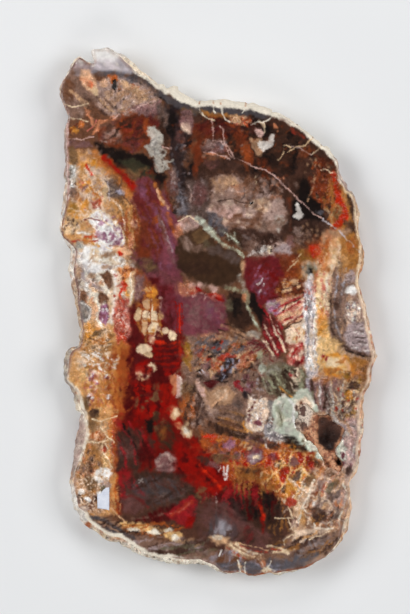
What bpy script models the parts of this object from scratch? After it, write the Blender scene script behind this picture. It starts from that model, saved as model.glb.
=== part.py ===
# A sawn and polished slab of petrified araucaria wood, lying on its sawn back.
# The slab is one stone. A crust of small crystals lines its one hollow, and a blank paper label is stuck on its face.
# Lengths here are millimetres: x to the right and y up the slab, seen from above, and z up from its back.

import math

import bmesh
import bpy
from mathutils import Vector, noise
from mathutils.geometry import delaunay_2d_cdt

MM = 0.001
THICKNESS = 30.0          # from the sawn back to the polished face
RIM_STEPS = 2             # rim points for each outline point
RIM_EVENING = 13.0        # distance each way over which the rim's outward directions are evened
LIP_EVENING = 1.0         # and the same for the hollow's lip
BARK_RIB = 1.5            # height of the ribs that run across the bark side
BARK_LEDGE = 1.9          # and of the ledges that run along it
RIB_PITCH = 7.0
LEDGE_PITCH = 26.0
GRID = 38.0               # spacing of the plain points on the two sawn faces
HOLLOW_GRID = 3.4         # and of the points inside the hollow
WALL_FOOT = 1.1           # how far the hollow's wall leans in, from its lip to its foot
CRUST_EDGE = 1.8          # how far inside the lip the crust ends
CRUST_DEPTH = 3.0         # how thick the crust is
CRUST_LEVEL = 2.4         # how far its ledge lies below the polished face
CRUST_LUMP = 1.3          # height of the lumps on it
GAP = 0.35                # air between pieces that touch in the real thing
LABEL_PAPER = 0.25        # thickness of the label

# The rim, clockwise: x and y of the widest outline, and how much narrower the polished face is there.
OUTLINE = [
    (-138.9, 256.8, 2.5), (-132.7, 252.4, 1.5), (-127.5, 249.6, 1.2), (-124.6, 250.6, 1.2),
    (-125.4, 256.0, 1.5), (-126.8, 261.3, 1.5), (-125.2, 263.6, 1.5), (-118.5, 264.0, 2.0),
    (-111.8, 265.1, 2.0), (-103.5, 261.2, 2.5), (-97.0, 258.6, 3.5), (-91.0, 255.0, 5.0),
    (-84.0, 250.0, 6.0), (-77.7, 242.8, 5.0), (-70.2, 238.3, 4.0), (-64.3, 233.7, 4.0),
    (-59.5, 228.2, 3.0), (-54.7, 228.3, 4.5), (-51.3, 224.8, 4.5), (-45.0, 227.8, 7.0),
    (-40.8, 226.0, 7.5), (-39.5, 223.0, 6.5), (-30.5, 217.4, 6.0), (-20.5, 212.0, 5.0),
    (-11.3, 212.3, 4.0), (0.3, 213.3, 6.0), (11.2, 213.0, 6.0), (25.3, 210.2, 5.0),
    (36.2, 208.8, 5.0), (46.0, 206.6, 5.0), (53.5, 204.0, 4.5), (54.8, 200.6, 2.5),
    (58.5, 200.6, 3.5), (66.7, 197.0, 3.5), (75.0, 191.8, 3.0), (83.3, 186.2, 2.0),
    (91.7, 179.5, 2.0), (98.0, 174.4, 3.0), (103.3, 170.0, 3.0), (106.0, 166.6, 2.0),
    (109.2, 166.4, 3.0), (115.0, 159.5, 3.5), (121.0, 151.6, 3.0), (121.9, 145.0, 1.8),
    (121.8, 140.4, 1.8), (124.5, 134.0, 3.0), (129.0, 128.0, 3.5), (130.2, 122.8, 2.4),
    (134.8, 120.4, 3.0), (138.5, 112.8, 2.2), (141.0, 105.0, 3.5), (142.0, 95.0, 4.0),
    (141.4, 84.0, 2.5), (143.7, 72.0, 1.5), (146.0, 61.0, 2.5), (147.4, 52.0, 4.5),
    (145.4, 42.0, 4.5), (142.4, 35.0, 2.5), (141.8, 28.0, 1.5), (145.0, 17.0, 2.5),
    (148.5, 6.0, 2.0), (149.9, -4.0, 2.0), (150.8, -10.0, 2.5), (153.6, -21.0, 2.5),
    (156.6, -33.0, 3.5), (159.8, -44.0, 4.0), (158.4, -49.0, 3.5), (154.4, -58.0, 3.0),
    (153.4, -70.0, 2.5), (150.3, -79.0, 4.5), (146.8, -87.0, 4.0), (146.0, -96.0, 4.5),
    (146.5, -107.0, 5.5), (145.4, -121.0, 4.0), (142.9, -134.0, 3.0), (141.8, -148.0, 2.5),
    (139.0, -158.0, 3.5), (133.6, -168.4, 2.5), (132.0, -175.0, 1.8), (132.9, -186.0, 2.0),
    (133.6, -196.0, 3.0), (132.2, -208.0, 6.0), (130.0, -219.0, 6.5), (124.5, -229.8, 4.0),
    (116.0, -239.7, 3.0), (108.0, -246.0, 1.5), (97.4, -251.3, 0.8), (87.8, -256.3, 0.8),
    (75.3, -260.2, 2.0), (62.0, -263.2, 3.0), (56.5, -263.8, 3.0), (53.5, -261.6, 1.5),
    (50.0, -261.8, 1.5), (42.0, -264.6, 2.0), (30.3, -265.2, 2.0), (26.5, -262.3, 1.2),
    (20.3, -261.4, 1.5), (13.0, -263.0, 2.0), (3.0, -260.8, 2.0), (-4.7, -258.0, 5.0),
    (-13.0, -254.6, 5.0), (-20.0, -253.8, 7.0), (-31.0, -254.6, 7.5), (-42.0, -254.4, 8.0),
    (-50.0, -253.4, 8.5), (-59.0, -249.8, 5.0), (-69.7, -246.9, 4.5), (-80.0, -241.9, 5.0),
    (-90.0, -237.4, 6.5), (-97.6, -233.2, 7.5), (-99.0, -230.8, 6.0), (-107.0, -231.6, 8.0),
    (-112.0, -230.2, 8.0), (-119.7, -223.4, 6.0), (-128.0, -218.0, 6.5), (-133.8, -213.0, 6.0),
    (-137.4, -208.0, 6.5), (-139.0, -202.4, 6.5), (-143.5, -197.4, 5.0), (-146.4, -189.0, 6.0),
    (-147.0, -182.0, 5.0), (-148.4, -172.0, 4.5), (-147.2, -160.0, 4.5), (-145.4, -148.0, 7.0),
    (-144.0, -135.0, 9.0), (-143.2, -125.0, 11.0), (-141.6, -120.6, 10.0), (-138.6, -117.6, 7.0),
    (-139.0, -108.0, 6.0), (-138.0, -101.0, 4.0), (-141.2, -98.6, 5.0), (-143.3, -91.0, 6.0),
    (-144.0, -83.0, 4.0), (-149.0, -75.0, 3.5), (-153.4, -70.0, 3.0), (-154.6, -62.0, 4.5),
    (-154.6, -50.0, 6.0), (-154.2, -41.0, 7.0), (-150.0, -36.0, 5.5), (-142.0, -34.0, 3.0),
    (-139.0, -29.0, 3.0), (-140.0, -24.0, 4.0), (-138.2, -18.0, 3.0), (-140.4, -10.0, 4.0),
    (-141.3, 0.0, 3.0), (-144.2, 9.0, 4.0), (-146.0, 20.0, 6.0), (-147.6, 32.0, 5.0),
    (-150.0, 43.0, 6.0), (-147.6, 57.0, 5.5), (-147.4, 62.0, 5.0), (-152.5, 70.0, 2.5),
    (-156.6, 75.0, 1.8), (-158.0, 83.0, 1.5), (-157.0, 94.0, 2.0), (-157.4, 102.0, 4.5),
    (-155.6, 114.0, 5.0), (-153.6, 124.0, 3.0), (-152.6, 131.0, 2.5), (-154.2, 137.0, 3.5),
    (-154.0, 150.0, 3.0), (-153.6, 170.0, 2.0), (-152.8, 187.0, 1.5), (-150.4, 195.4, 1.5),
    (-151.4, 198.8, 1.0), (-154.8, 207.0, 1.5), (-158.2, 214.4, 2.0), (-158.1, 224.0, 1.5),
    (-155.6, 232.0, 1.5), (-150.6, 240.3, 2.0), (-145.2, 251.0, 2.5), (-141.0, 255.6, 3.0),
]

# The bark side from the face down: depth, share of the rim's width reached, and how far it has drawn back again.
SIDE = [
    (0.0, 0.0, 0.0),
    (1.2, 0.35, 0.0),
    (4.0, 0.8, 0.0),
    (10.0, 1.0, 0.0),
    (17.0, 1.0, 0.6),
    (24.0, 1.0, 1.6),
    (28.5, 1.0, 2.8),
    (THICKNESS, 1.0, 4.0),
]
RIBS_FROM = 6.0           # depth at which the bark's ribs reach their full relief
BACK_RELIEF = 0.3         # share of that relief left where the saw cut the back

# The hollow's lip, anticlockwise from its upper end.
HOLLOW = [
    (82.0, -92.5), (80.0, -98.0), (79.2, -104.0), (76.6, -108.8), (76.8, -113.0), (79.0, -117.6),
    (82.6, -121.2), (86.4, -124.8), (88.2, -129.4), (91.6, -129.6), (95.4, -133.2), (98.8, -136.6),
    (100.4, -141.4), (103.4, -145.2), (105.8, -149.2), (106.8, -153.6), (110.4, -156.2), (115.0, -157.2),
    (119.0, -160.0), (122.6, -161.0), (124.6, -157.0), (125.8, -152.0), (123.4, -147.4), (119.4, -143.4),
    (117.8, -139.6), (119.4, -136.0), (122.4, -132.2), (124.4, -128.4), (125.6, -123.4), (127.6, -117.8),
    (124.6, -114.6), (120.0, -111.4), (115.6, -109.0), (113.4, -104.6), (110.6, -101.8), (105.6, -103.2),
    (100.6, -102.8), (97.4, -99.4), (94.2, -95.4), (88.4, -91.4),
]
# Wells in the hollow's crust: x, y, reach, and depth below the polished face.
WELLS = [
    (112.0, -121.0, 13.5, 21.0),
    (108.0, -128.0, 8.0, 22.0),
    (117.5, -116.0, 8.0, 17.0),
    (106.0, -111.0, 7.5, 14.0),
    (112.5, -134.5, 6.5, 13.0),
    (80.8, -112.0, 5.2, 8.0),
    (87.6, -124.6, 3.6, 6.5),
    (121.6, -151.0, 4.4, 12.0),
    (110.4, -152.0, 3.4, 7.0),
]
# Small pits in the polished face: x, y, half width, half height, lean in degrees, depth.
PITS = [
    (-102.6, 227.2, 2.2, 4.6, 28.0, 6.0),
    (34.2, 109.0, 1.1, 1.4, 0.0, 2.0),
]
PIT_SIDES = 10
PIT_RINGS = [(1.0, 0.0), (0.7, 0.75)]      # size of each ring and share of the depth it lies at

# The paper label, clockwise, with one corner torn off.
LABEL = [
    (-120.6, -196.4), (-120.8, -182.4), (-117.6, -181.4), (-114.6, -177.6), (-112.0, -175.6), (-108.6, -175.2),
    (-108.7, -198.4), (-112.6, -197.4),
]


def clear_scene():
    for thing in list(bpy.data.objects):
        bpy.data.objects.remove(thing)


def finish(name, colour, roughness):
    material = bpy.data.materials.new(name)
    material.use_nodes = True
    surface = material.node_tree.nodes["Principled BSDF"]
    surface.inputs["Base Color"].default_value = (*colour, 1.0)
    surface.inputs["Roughness"].default_value = roughness
    surface.inputs["Metallic"].default_value = 0.0
    return material


# One span of a centripetal Catmull-Rom curve, at a share of the way from start to end.
def curve_point(before, start, end, after, share):
    knots = [0.0]
    for one, two in ((before, start), (start, end), (end, after)):
        knots.append(knots[-1] + math.sqrt((two - one).length))
    at = knots[1] + (knots[2] - knots[1]) * share

    def blend(one, two, low, high):
        return one + (two - one) * ((at - knots[low]) / (knots[high] - knots[low]))

    first = blend(before, start, 0, 1)
    second = blend(start, end, 1, 2)
    third = blend(end, after, 2, 3)
    return blend(blend(first, second, 0, 2), blend(second, third, 1, 3), 1, 2)


def smooth_loop(points, steps):
    vectors = [Vector(point) for point in points]
    count = len(vectors)
    loop = []
    for index in range(count):
        span = [vectors[(index + shift) % count] for shift in (-1, 0, 1, 2)]
        for step in range(steps):
            loop.append(curve_point(*span, step / steps))
    return loop


# The first point of a closed loop that lies at least so far along it from the one given, forwards or backwards.
def point_along(loop, index, way, distance):
    count = len(loop)
    gone = 0.0
    while gone < distance:
        gone += (loop[(index + way) % count] - loop[index % count]).length
        index += way
    return loop[index % count]


# Unit vectors to the left of the way along a closed loop, evened over a distance each way.
def leftward(loop, distance):
    sides = []
    for index in range(len(loop)):
        along = point_along(loop, index, 1, distance) - point_along(loop, index, -1, distance)
        sides.append(Vector((-along.y, along.x)).normalized())
    return sides


# The rim's places and its widths. It runs clockwise, so its left is the outside.
def rim_loop():
    loop = smooth_loop(OUTLINE, RIM_STEPS)
    places = [Vector((point.x, point.y)) for point in loop]
    widths = [point.z for point in loop]
    return places, widths, leftward(places, RIM_EVENING)


# One ring of the bark side.
def side_ring(rim, depth, share, drawn_back):
    relief = BACK_RELIEF if depth == THICKNESS else min(depth / RIBS_FROM, 1.0)
    ring = []
    for place, width, outward in zip(*rim):
        rib = noise.noise(Vector((place.x / RIB_PITCH, place.y / RIB_PITCH, depth / 45.0)))
        ledge = noise.noise(Vector((place.x / LEDGE_PITCH, place.y / LEDGE_PITCH, depth / 9.0 + 7.3)))
        recess = relief * (BARK_RIB * rib + BARK_LEDGE * ledge)
        spot = place - outward * (width * (1.0 - share) + drawn_back + recess)
        ring.append(Vector((spot.x, spot.y, THICKNESS - depth)))
    return ring


def inside(spot, polygon):
    hit = False
    for one, two in zip(polygon, polygon[1:] + polygon[:1]):
        if (one.y > spot.y) != (two.y > spot.y):
            hit ^= spot.x < one.x + (two.x - one.x) * (spot.y - one.y) / (two.y - one.y)
    return hit


# An anticlockwise loop drawn in towards its inside, and evened a little.
def drawn_in(loop, distance):
    moved = [point + side * distance for point, side in zip(loop, leftward(loop, LIP_EVENING))]
    count = len(moved)
    return [(moved[i - 1] + moved[i] * 4 + moved[(i + 1) % count]) / 6 for i in range(count)]


# Staggered rows of spots inside a polygon.
def rows_of_spots(polygon, pitch):
    low = Vector((min(point.x for point in polygon), min(point.y for point in polygon)))
    high = Vector((max(point.x for point in polygon), max(point.y for point in polygon)))
    rise = pitch * math.sin(math.radians(60))
    spots = []
    for row in range(int((high.y - low.y) / rise) + 1):
        for column in range(int((high.x - low.x) / pitch) + 2):
            spot = Vector((low.x + (column + 0.5 * (row % 2)) * pitch, low.y + row * rise))
            if inside(spot, polygon):
                spots.append(spot)
    return spots


# How far the crust's surface lies below the polished face.
def crust_depth(spot):
    depth = CRUST_LEVEL + CRUST_LUMP * noise.noise(Vector((spot.x / 5.0, spot.y / 5.0, 3.1)))
    for x, y, reach, bottom in WELLS:
        away = math.hypot(spot.x - x, spot.y - y) / reach
        if away < 1.0:
            depth = max(depth, bottom * (1.0 - away ** 3))
    return max(depth, 1.0)


# The floor that the stone has under the crust.
def floor_height(spot):
    return THICKNESS - crust_depth(spot) - CRUST_DEPTH - GAP


# Points joined up in plan by triangles, each with the height it gets in one solid.
class Plan:
    def __init__(self):
        self.points = []
        self.heights = []
        self.edges = []

    def add(self, spot, height):
        self.points.append(Vector((spot.x, spot.y)))
        self.heights.append(height)

    def add_loop(self, loop, height):
        first = len(self.points)
        for spot in loop:
            self.add(spot, height(spot) if callable(height) else height)
        for index in range(len(loop)):
            self.edges.append((first + index, first + (index + 1) % len(loop)))

    def triangles(self):
        points, _, faces, originals, _, _ = delaunay_2d_cdt(self.points, self.edges, [], 1, 1e-7)
        crossings = [tuple(point) for point, source in zip(points, originals) if not source]
        if crossings:
            raise ValueError(f"loops cross at {crossings}")
        known = [source[0] for source in originals]
        return [[known[corner] for corner in face] for face in faces]


def add_pits(plan):
    for x, y, half_width, half_height, lean, depth in PITS:
        turn = math.radians(lean)
        for size, share in PIT_RINGS:
            ring = []
            for side in range(PIT_SIDES):
                angle = 2 * math.pi * side / PIT_SIDES
                across = half_width * size * math.cos(angle)
                up = half_height * size * math.sin(angle)
                along_x = across * math.cos(turn) + up * math.sin(turn)
                along_y = up * math.cos(turn) - across * math.sin(turn)
                ring.append(Vector((x + along_x, y + along_y)))
            plan.add_loop(ring, THICKNESS - depth * share)
        plan.add(Vector((x, y)), THICKNESS - depth)


# Plain spots on a sawn face, clear of the rim, the hollow and the pits.
def plain_spots(ring, keep_clear):
    flat = [Vector((point.x, point.y)) for point in ring]
    spots = []
    for spot in rows_of_spots(flat, GRID):
        clear_of_rim = min((spot - point).length for point in flat) > 0.3 * GRID
        if clear_of_rim and not any((spot - centre).length < reach for centre, reach in keep_clear):
            spots.append(spot)
    return spots


# The polished face, with the hollow and the pits let into it.
def face_plan(face_edge, lip):
    plan = Plan()
    plan.add_loop(face_edge, THICKNESS)
    plan.add_loop(lip, THICKNESS)
    plan.add_loop(drawn_in(lip, WALL_FOOT), floor_height)
    plan.add_loop(drawn_in(lip, CRUST_EDGE), floor_height)
    for spot in rows_of_spots(drawn_in(lip, CRUST_EDGE + 0.4 * HOLLOW_GRID), HOLLOW_GRID):
        plan.add(spot, floor_height(spot))
    add_pits(plan)
    middle = sum(lip, Vector((0, 0))) / len(lip)
    keep_clear = [(middle, 45.0)] + [(Vector(pit[:2]), 12.0) for pit in PITS]
    for spot in plain_spots(face_edge, keep_clear):
        plan.add(spot, THICKNESS)
    return plan


def back_plan(ring):
    plan = Plan()
    plan.add_loop(ring, 0.0)
    for spot in plain_spots(ring, []):
        plan.add(spot, 0.0)
    return plan


# The plan's triangles as faces, facing up or down. The first points can be vertices that are there already.
def add_plan(mesh, plan, heights, up, shared=()):
    corners = list(shared)
    for spot, height in list(zip(plan.points, heights))[len(shared):]:
        corners.append(mesh.verts.new((spot.x, spot.y, height)))
    for face in plan.triangles():
        one, two, three = (plan.points[corner] for corner in face)
        turns_left = (two - one).cross(three - one) > 0
        order = face if turns_left == up else face[::-1]
        mesh.faces.new([corners[corner] for corner in order])
    return corners


# A band of triangles between two rings of vertices with the same number of points, faces to the left of the way.
def add_band(mesh, upper, lower):
    count = len(upper)
    for index in range(count):
        ahead = (index + 1) % count
        mesh.faces.new((upper[index], upper[ahead], lower[ahead]))
        mesh.faces.new((upper[index], lower[ahead], lower[index]))


def place(mesh, name, material, shift):
    bmesh.ops.translate(mesh, verts=mesh.verts, vec=(-shift.x, -shift.y, 0.0))
    bmesh.ops.scale(mesh, verts=mesh.verts, vec=(MM, MM, MM))
    data = bpy.data.meshes.new(name)
    mesh.to_mesh(data)
    mesh.free()
    data.materials.append(material)
    thing = bpy.data.objects.new(name, data)
    bpy.context.scene.collection.objects.link(thing)
    return thing


# The stone: polished face, bark side and sawn back. Returns its mesh and the middle of its box.
def slab_mesh(lip):
    rim = rim_loop()
    mesh = bmesh.new()
    rings = [side_ring(rim, *level) for level in SIDE]
    ring_verts = [[mesh.verts.new(point) for point in ring] for ring in rings]
    for upper, lower in zip(ring_verts, ring_verts[1:]):
        add_band(mesh, upper, lower)
    face = face_plan(rings[0], lip)
    add_plan(mesh, face, face.heights, True, ring_verts[0])
    back = back_plan(rings[-1])
    add_plan(mesh, back, back.heights, False, ring_verts[-1])
    xs = [vert.co.x for vert in mesh.verts]
    ys = [vert.co.y for vert in mesh.verts]
    return mesh, Vector(((min(xs) + max(xs)) / 2, (min(ys) + max(ys)) / 2))


# The crust of crystals: a bowl of even depth that follows the hollow's floor.
def crust_mesh(lip):
    plan = Plan()
    plan.add_loop(drawn_in(lip, CRUST_EDGE), lambda spot: THICKNESS - crust_depth(spot))
    for spot in rows_of_spots(drawn_in(lip, CRUST_EDGE + 0.4 * HOLLOW_GRID), HOLLOW_GRID):
        plan.add(spot, THICKNESS - crust_depth(spot))
    mesh = bmesh.new()
    upper = add_plan(mesh, plan, plan.heights, True)
    lower = add_plan(mesh, plan, [height - CRUST_DEPTH for height in plan.heights], False)
    edge = len(lip)
    add_band(mesh, lower[:edge], upper[:edge])
    return mesh


def label_mesh():
    plan = Plan()
    plan.add_loop([Vector(point) for point in LABEL], THICKNESS + GAP)
    mesh = bmesh.new()
    lower = add_plan(mesh, plan, plan.heights, False)
    upper = add_plan(mesh, plan, [height + LABEL_PAPER for height in plan.heights], True)
    add_band(mesh, upper, lower)
    return mesh


def build():
    clear_scene()
    lip = [Vector(point) for point in HOLLOW]
    slab, middle = slab_mesh(lip)
    place(slab, "slab", finish("polished_wood_stone", (0.30, 0.13, 0.08), 0.18), middle)
    place(crust_mesh(lip), "vug_crust", finish("rusty_quartz_crust", (0.42, 0.22, 0.14), 0.6), middle)
    place(label_mesh(), "label", finish("label_paper", (0.80, 0.82, 0.86), 0.75), middle)


build()
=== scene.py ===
import math
import bpy
import numpy as np
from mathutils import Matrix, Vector
from mathutils.bvhtree import BVHTree
from mathutils.geometry import delaunay_2d_cdt
from mathutils.kdtree import KDTree


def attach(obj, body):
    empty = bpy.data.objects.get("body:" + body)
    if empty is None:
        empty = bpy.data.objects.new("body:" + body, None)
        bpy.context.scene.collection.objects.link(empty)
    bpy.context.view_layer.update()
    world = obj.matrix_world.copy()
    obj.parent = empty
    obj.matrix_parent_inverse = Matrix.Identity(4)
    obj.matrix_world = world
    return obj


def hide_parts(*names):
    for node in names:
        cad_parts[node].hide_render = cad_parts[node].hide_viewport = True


# A sliced and polished slab of petrified araucaria wood, lying on its sawn back.
# Lengths in this file are millimetres until a mesh is made. X runs right and Y up the slab, seen from above.

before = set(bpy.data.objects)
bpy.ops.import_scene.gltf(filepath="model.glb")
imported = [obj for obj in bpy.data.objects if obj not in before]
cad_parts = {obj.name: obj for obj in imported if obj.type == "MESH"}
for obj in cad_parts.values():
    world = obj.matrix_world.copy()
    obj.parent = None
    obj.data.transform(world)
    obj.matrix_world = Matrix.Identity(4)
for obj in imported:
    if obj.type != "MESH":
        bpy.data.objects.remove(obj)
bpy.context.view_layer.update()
cadMiddle = Vector((0.298, 0.354))        # where the model's own zero lies in the slab's X and Y
thickness = 30.0


# Meshes in and out

def readNode(name):
    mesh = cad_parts[name].data
    spots = np.array([tuple(vert.co) for vert in mesh.vertices]) * 1000.0
    spots[:, 0] += cadMiddle.x
    spots[:, 1] += cadMiddle.y
    _, keep, back = np.unique(np.round(spots, 3), axis=0, return_index=True, return_inverse=True)
    back = back.reshape(-1)
    faces = [tuple(back[i] for i in face.vertices) for face in mesh.polygons]
    return spots[keep], [face for face in faces if len(set(face)) == len(face)]


def makeObject(name, spots, faces, smooth=True):
    mesh = bpy.data.meshes.new(name)
    shifted = (np.asarray(spots) - (cadMiddle.x, cadMiddle.y, 0.0)) * 0.001
    mesh.from_pydata(shifted.tolist(), [], [tuple(int(i) for i in face) for face in faces])
    mesh.update()
    mesh.shade_smooth() if smooth else mesh.shade_flat()
    thing = bpy.data.objects.new(name, mesh)
    bpy.context.scene.collection.objects.link(thing)
    return thing


# Closed chains of points joined by the edges given.
def loopsFrom(edges):
    links = {}
    for one, two in edges:
        links.setdefault(one, []).append(two)
        links.setdefault(two, []).append(one)
    loops = []
    while links:
        here = next(iter(links))
        loop = []
        while here is not None:
            loop.append(here)
            ahead = [spot for spot in links.pop(here) if spot in links]
            here = ahead[0] if ahead else None
        loops.append(loop)
    return sorted(loops, key=len, reverse=True)


def edgesAt(spots, faces, height, rimOnly):
    level = np.abs(spots[:, 2] - height) < 0.004
    count = {}
    for face in faces:
        if rimOnly and not all(level[list(face)]):
            continue
        for one, two in zip(face, face[1:] + face[:1]):
            if level[one] and level[two]:
                key = (min(one, two), max(one, two))
                count[key] = count.get(key, 0) + 1
    return [edge for edge in count if count[edge] == 1 or not rimOnly]


# Points at even steps along a closed curve through the ones given, with where each lies among them.
def evenLoop(points, pitch, count=None):
    points = np.asarray(points, float)
    fine = 12
    share = np.arange(len(points) * fine) / fine
    curve = curveAt(points, share)
    steps = np.linalg.norm(np.roll(curve, -1, 0) - curve, axis=1)
    gone = np.concatenate(([0.0], np.cumsum(steps)))
    total = gone[-1]
    count = count or int(total / pitch)
    wanted = np.arange(count) * total / count
    return np.interp(wanted, gone, np.append(share, len(points)))


def curveAt(points, share):
    index = np.floor(share).astype(int)
    t = (share - index)[:, None]
    a, b, c, d = (points[(index + shift) % len(points)] for shift in (-1, 0, 1, 2))
    square = (2 * a - 5 * b + 4 * c - d) * t ** 2
    cube = (3 * b - a - 3 * c + d) * t ** 3
    return 0.5 * (2 * b + (c - a) * t + square + cube)


def isInside(x, y, polygon):
    hit = np.zeros(len(x), bool)
    for (ax, ay), (bx, by) in zip(polygon, np.roll(polygon, -1, 0)):
        if ay == by:
            continue
        crosses = (ay > y) != (by > y)
        hit ^= crosses & (x < ax + (bx - ax) * (y - ay) / (by - ay))
    return hit


# Noise, the same on every run

noiseTable = np.random.default_rng(7).random((256, 256)) * 2.0 - 1.0


def valueNoise(x, y, seed):
    x = x + seed * 37.1
    y = y + seed * 71.7
    ix = np.floor(x).astype(int)
    iy = np.floor(y).astype(int)
    fx = x - ix
    fy = y - iy
    fx = fx * fx * (3 - 2 * fx)
    fy = fy * fy * (3 - 2 * fy)
    low = noiseTable[ix % 256, iy % 256] * (1 - fx) + noiseTable[(ix + 1) % 256, iy % 256] * fx
    high = noiseTable[ix % 256, (iy + 1) % 256] * (1 - fx) + noiseTable[(ix + 1) % 256, (iy + 1) % 256] * fx
    return low * (1 - fy) + high * fy


def fbm(x, y, size, octaves=3, seed=0):
    total = 0.0
    for octave in range(octaves):
        step = 2 ** octave
        total = total + valueNoise(x * step / size, y * step / size, seed + octave * 3) / step
    return total / 1.4


# Distance to the nearest and the second nearest of points scattered one to a cell.
def scattered(x, y, size, seed):
    x = x / size
    y = y / size
    ix = np.floor(x).astype(int)
    iy = np.floor(y).astype(int)
    first = np.full(len(x), 9.0)
    second = np.full(len(x), 9.0)
    for dx in (-1, 0, 1):
        for dy in (-1, 0, 1):
            cx = ix + dx
            cy = iy + dy
            jx = noiseTable[(cx + seed) % 256, cy % 256] * 0.45 + 0.5
            jy = noiseTable[cy % 256, (cx + seed * 5 + 91) % 256] * 0.45 + 0.5
            away = np.hypot(cx + jx - x, cy + jy - y)
            second = np.minimum(second, np.maximum(first, away))
            first = np.minimum(first, away)
    return first, second


def smoothStep(low, high, value):
    share = np.clip((value - low) / (high - low), 0.0, 1.0)
    return share * share * (3 - 2 * share)


# The stone

slabShape = {
    "facePitch": 1.38,       # spacing of the points that carry the colours
    "rimPitch": 1.45,
    "lipPitch": 1.0,
    "backPitch": 9.0,
    "jitter": 0.34,
    "rimRagged": 0.3,        # how far the face's edge wanders
    "chipDepth": 0.9,        # nicks along the edge
    "barkRelief": 0.75,      # fine relief of the bark side
    "crustUnder": 2.2,       # how far the hollow's floor lies under its crust
}
sideDepths = [0.0, 1.2, 4.0, 10.0, 17.0, 24.0, 28.5, 30.0]
fineDepths = [0.0, 0.45, 1.0, 1.8, 3.0, 4.5, 6.5, 9.0, 11.5, 14.5, 17.5, 20.5, 23.5, 26.0, 28.0, 29.3, 30.0]


# Every ring of the CAD side, point for point in the same order, the face's edge first.
def sideRings(spots, faces):
    rings = []
    for depth in sideDepths:
        height = thickness - depth
        flat = depth in (0.0, thickness)
        loop = spots[loopsFrom(edgesAt(spots, faces, height, flat))[0], :2]
        if rings:
            best = None
            for way in (1, -1):
                turned = loop[::way]
                for shift in range(len(turned)):
                    moved = np.roll(turned, shift, 0)
                    gap = np.abs(moved[::8] - rings[-1][::8]).sum()
                    if best is None or gap < best[0]:
                        best = (gap, moved)
            loop = best[1]
        else:
            area = (loop[:, 0] * np.roll(loop[:, 1], -1) - np.roll(loop[:, 0], -1) * loop[:, 1]).sum()
            loop = loop if area > 0 else loop[::-1]
        rings.append(loop)
    return rings


slabSpots, slabFaces = readNode("slab")
rings = sideRings(slabSpots, slabFaces)
faceLoops = loopsFrom(edgesAt(slabSpots, slabFaces, thickness, True))
lip = slabSpots[faceLoops[1], :2]
pitLoops = [slabSpots[loop, :2] for loop in faceLoops[2:4]]
print("rings", [len(ring) for ring in rings], "lip", len(lip), "pits", [len(pit) for pit in pitLoops])

columns = evenLoop(rings[0], slabShape["rimPitch"])
crustSpots, crustFaces = readNode("vug_crust")
crustTree = BVHTree.FromPolygons([tuple(spot) for spot in crustSpots], crustFaces)


# The height of the CAD crust's surface at a place, evened a little.
def crustTop(x, y):
    heights = []
    for dx, dy in ((0, 0), (0.9, 0), (-0.9, 0), (0, 0.9), (0, -0.9)):
        hit = crustTree.ray_cast(Vector((x + dx, y + dy, 40.0)), Vector((0, 0, -1)))
        if hit[0]:
            heights.append(hit[0].z)
    if heights:
        return sum(heights) / len(heights)
    near = crustTree.find_nearest(Vector((x, y, 27.0)))[0]
    return near.z


def drawIn(loop, distance):
    along = np.roll(loop, -2, 0) - np.roll(loop, 2, 0)
    side = np.stack([-along[:, 1], along[:, 0]], 1)
    side /= np.linalg.norm(side, axis=1)[:, None] + 1e-9
    return loop + side * distance


def turnedLeft(loop):
    area = (loop[:, 0] * np.roll(loop[:, 1], -1) - np.roll(loop[:, 0], -1) * loop[:, 1]).sum()
    return loop if area > 0 else loop[::-1]


# Loops and loose points joined up by triangles. Loops come first and keep their places.
def joinUp(loops, loose):
    spots = []
    edges = []
    for loop in loops:
        first = len(spots)
        spots.extend(tuple(spot) for spot in loop)
        edges.extend((first + i, first + (i + 1) % len(loop)) for i in range(len(loop)))
    spots.extend(tuple(spot) for spot in loose)
    points, _, faces, source, _, _ = delaunay_2d_cdt([Vector(spot) for spot in spots], edges, [], 1, 1e-7)
    points = np.array([tuple(point) for point in points])
    place = np.array([origin[0] if origin else -1 for origin in source])
    print("joined", len(spots), "points,", len(faces), "triangles,", int((place < 0).sum()), "crossings")
    return points, faces, place


def staggered(low, high, pitch, jitter, seed):
    rng = np.random.default_rng(seed)
    rise = pitch * 0.866
    rows = int((high[1] - low[1]) / rise) + 1
    across = int((high[0] - low[0]) / pitch) + 1
    gridY, gridX = np.mgrid[0:rows, 0:across].astype(float)
    gridX = low[0] + (gridX + 0.5 * (gridY % 2)) * pitch
    gridY = low[1] + gridY * rise
    gridX = gridX + rng.uniform(-jitter, jitter, gridX.shape) * pitch
    gridY = gridY + rng.uniform(-jitter, jitter, gridY.shape) * pitch
    return np.stack([gridX.ravel(), gridY.ravel()], 1)


def clearOf(spots, fixed, distance):
    tree = KDTree(len(fixed))
    for index, spot in enumerate(fixed):
        tree.insert((spot[0], spot[1], 0.0), index)
    tree.balance()
    far = [tree.find((spot[0], spot[1], 0.0))[2] > distance for spot in spots]
    return spots[np.array(far)]


def pointsAlong(path, pitch):
    path = np.asarray(path, float)
    steps = np.linalg.norm(np.diff(path, axis=0), axis=1)
    gone = np.concatenate(([0.0], np.cumsum(steps)))
    count = max(int(gone[-1] / pitch), 2)
    wanted = np.linspace(0.0, gone[-1], count)
    return np.stack([np.interp(wanted, gone, path[:, 0]), np.interp(wanted, gone, path[:, 1])], 1)


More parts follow.
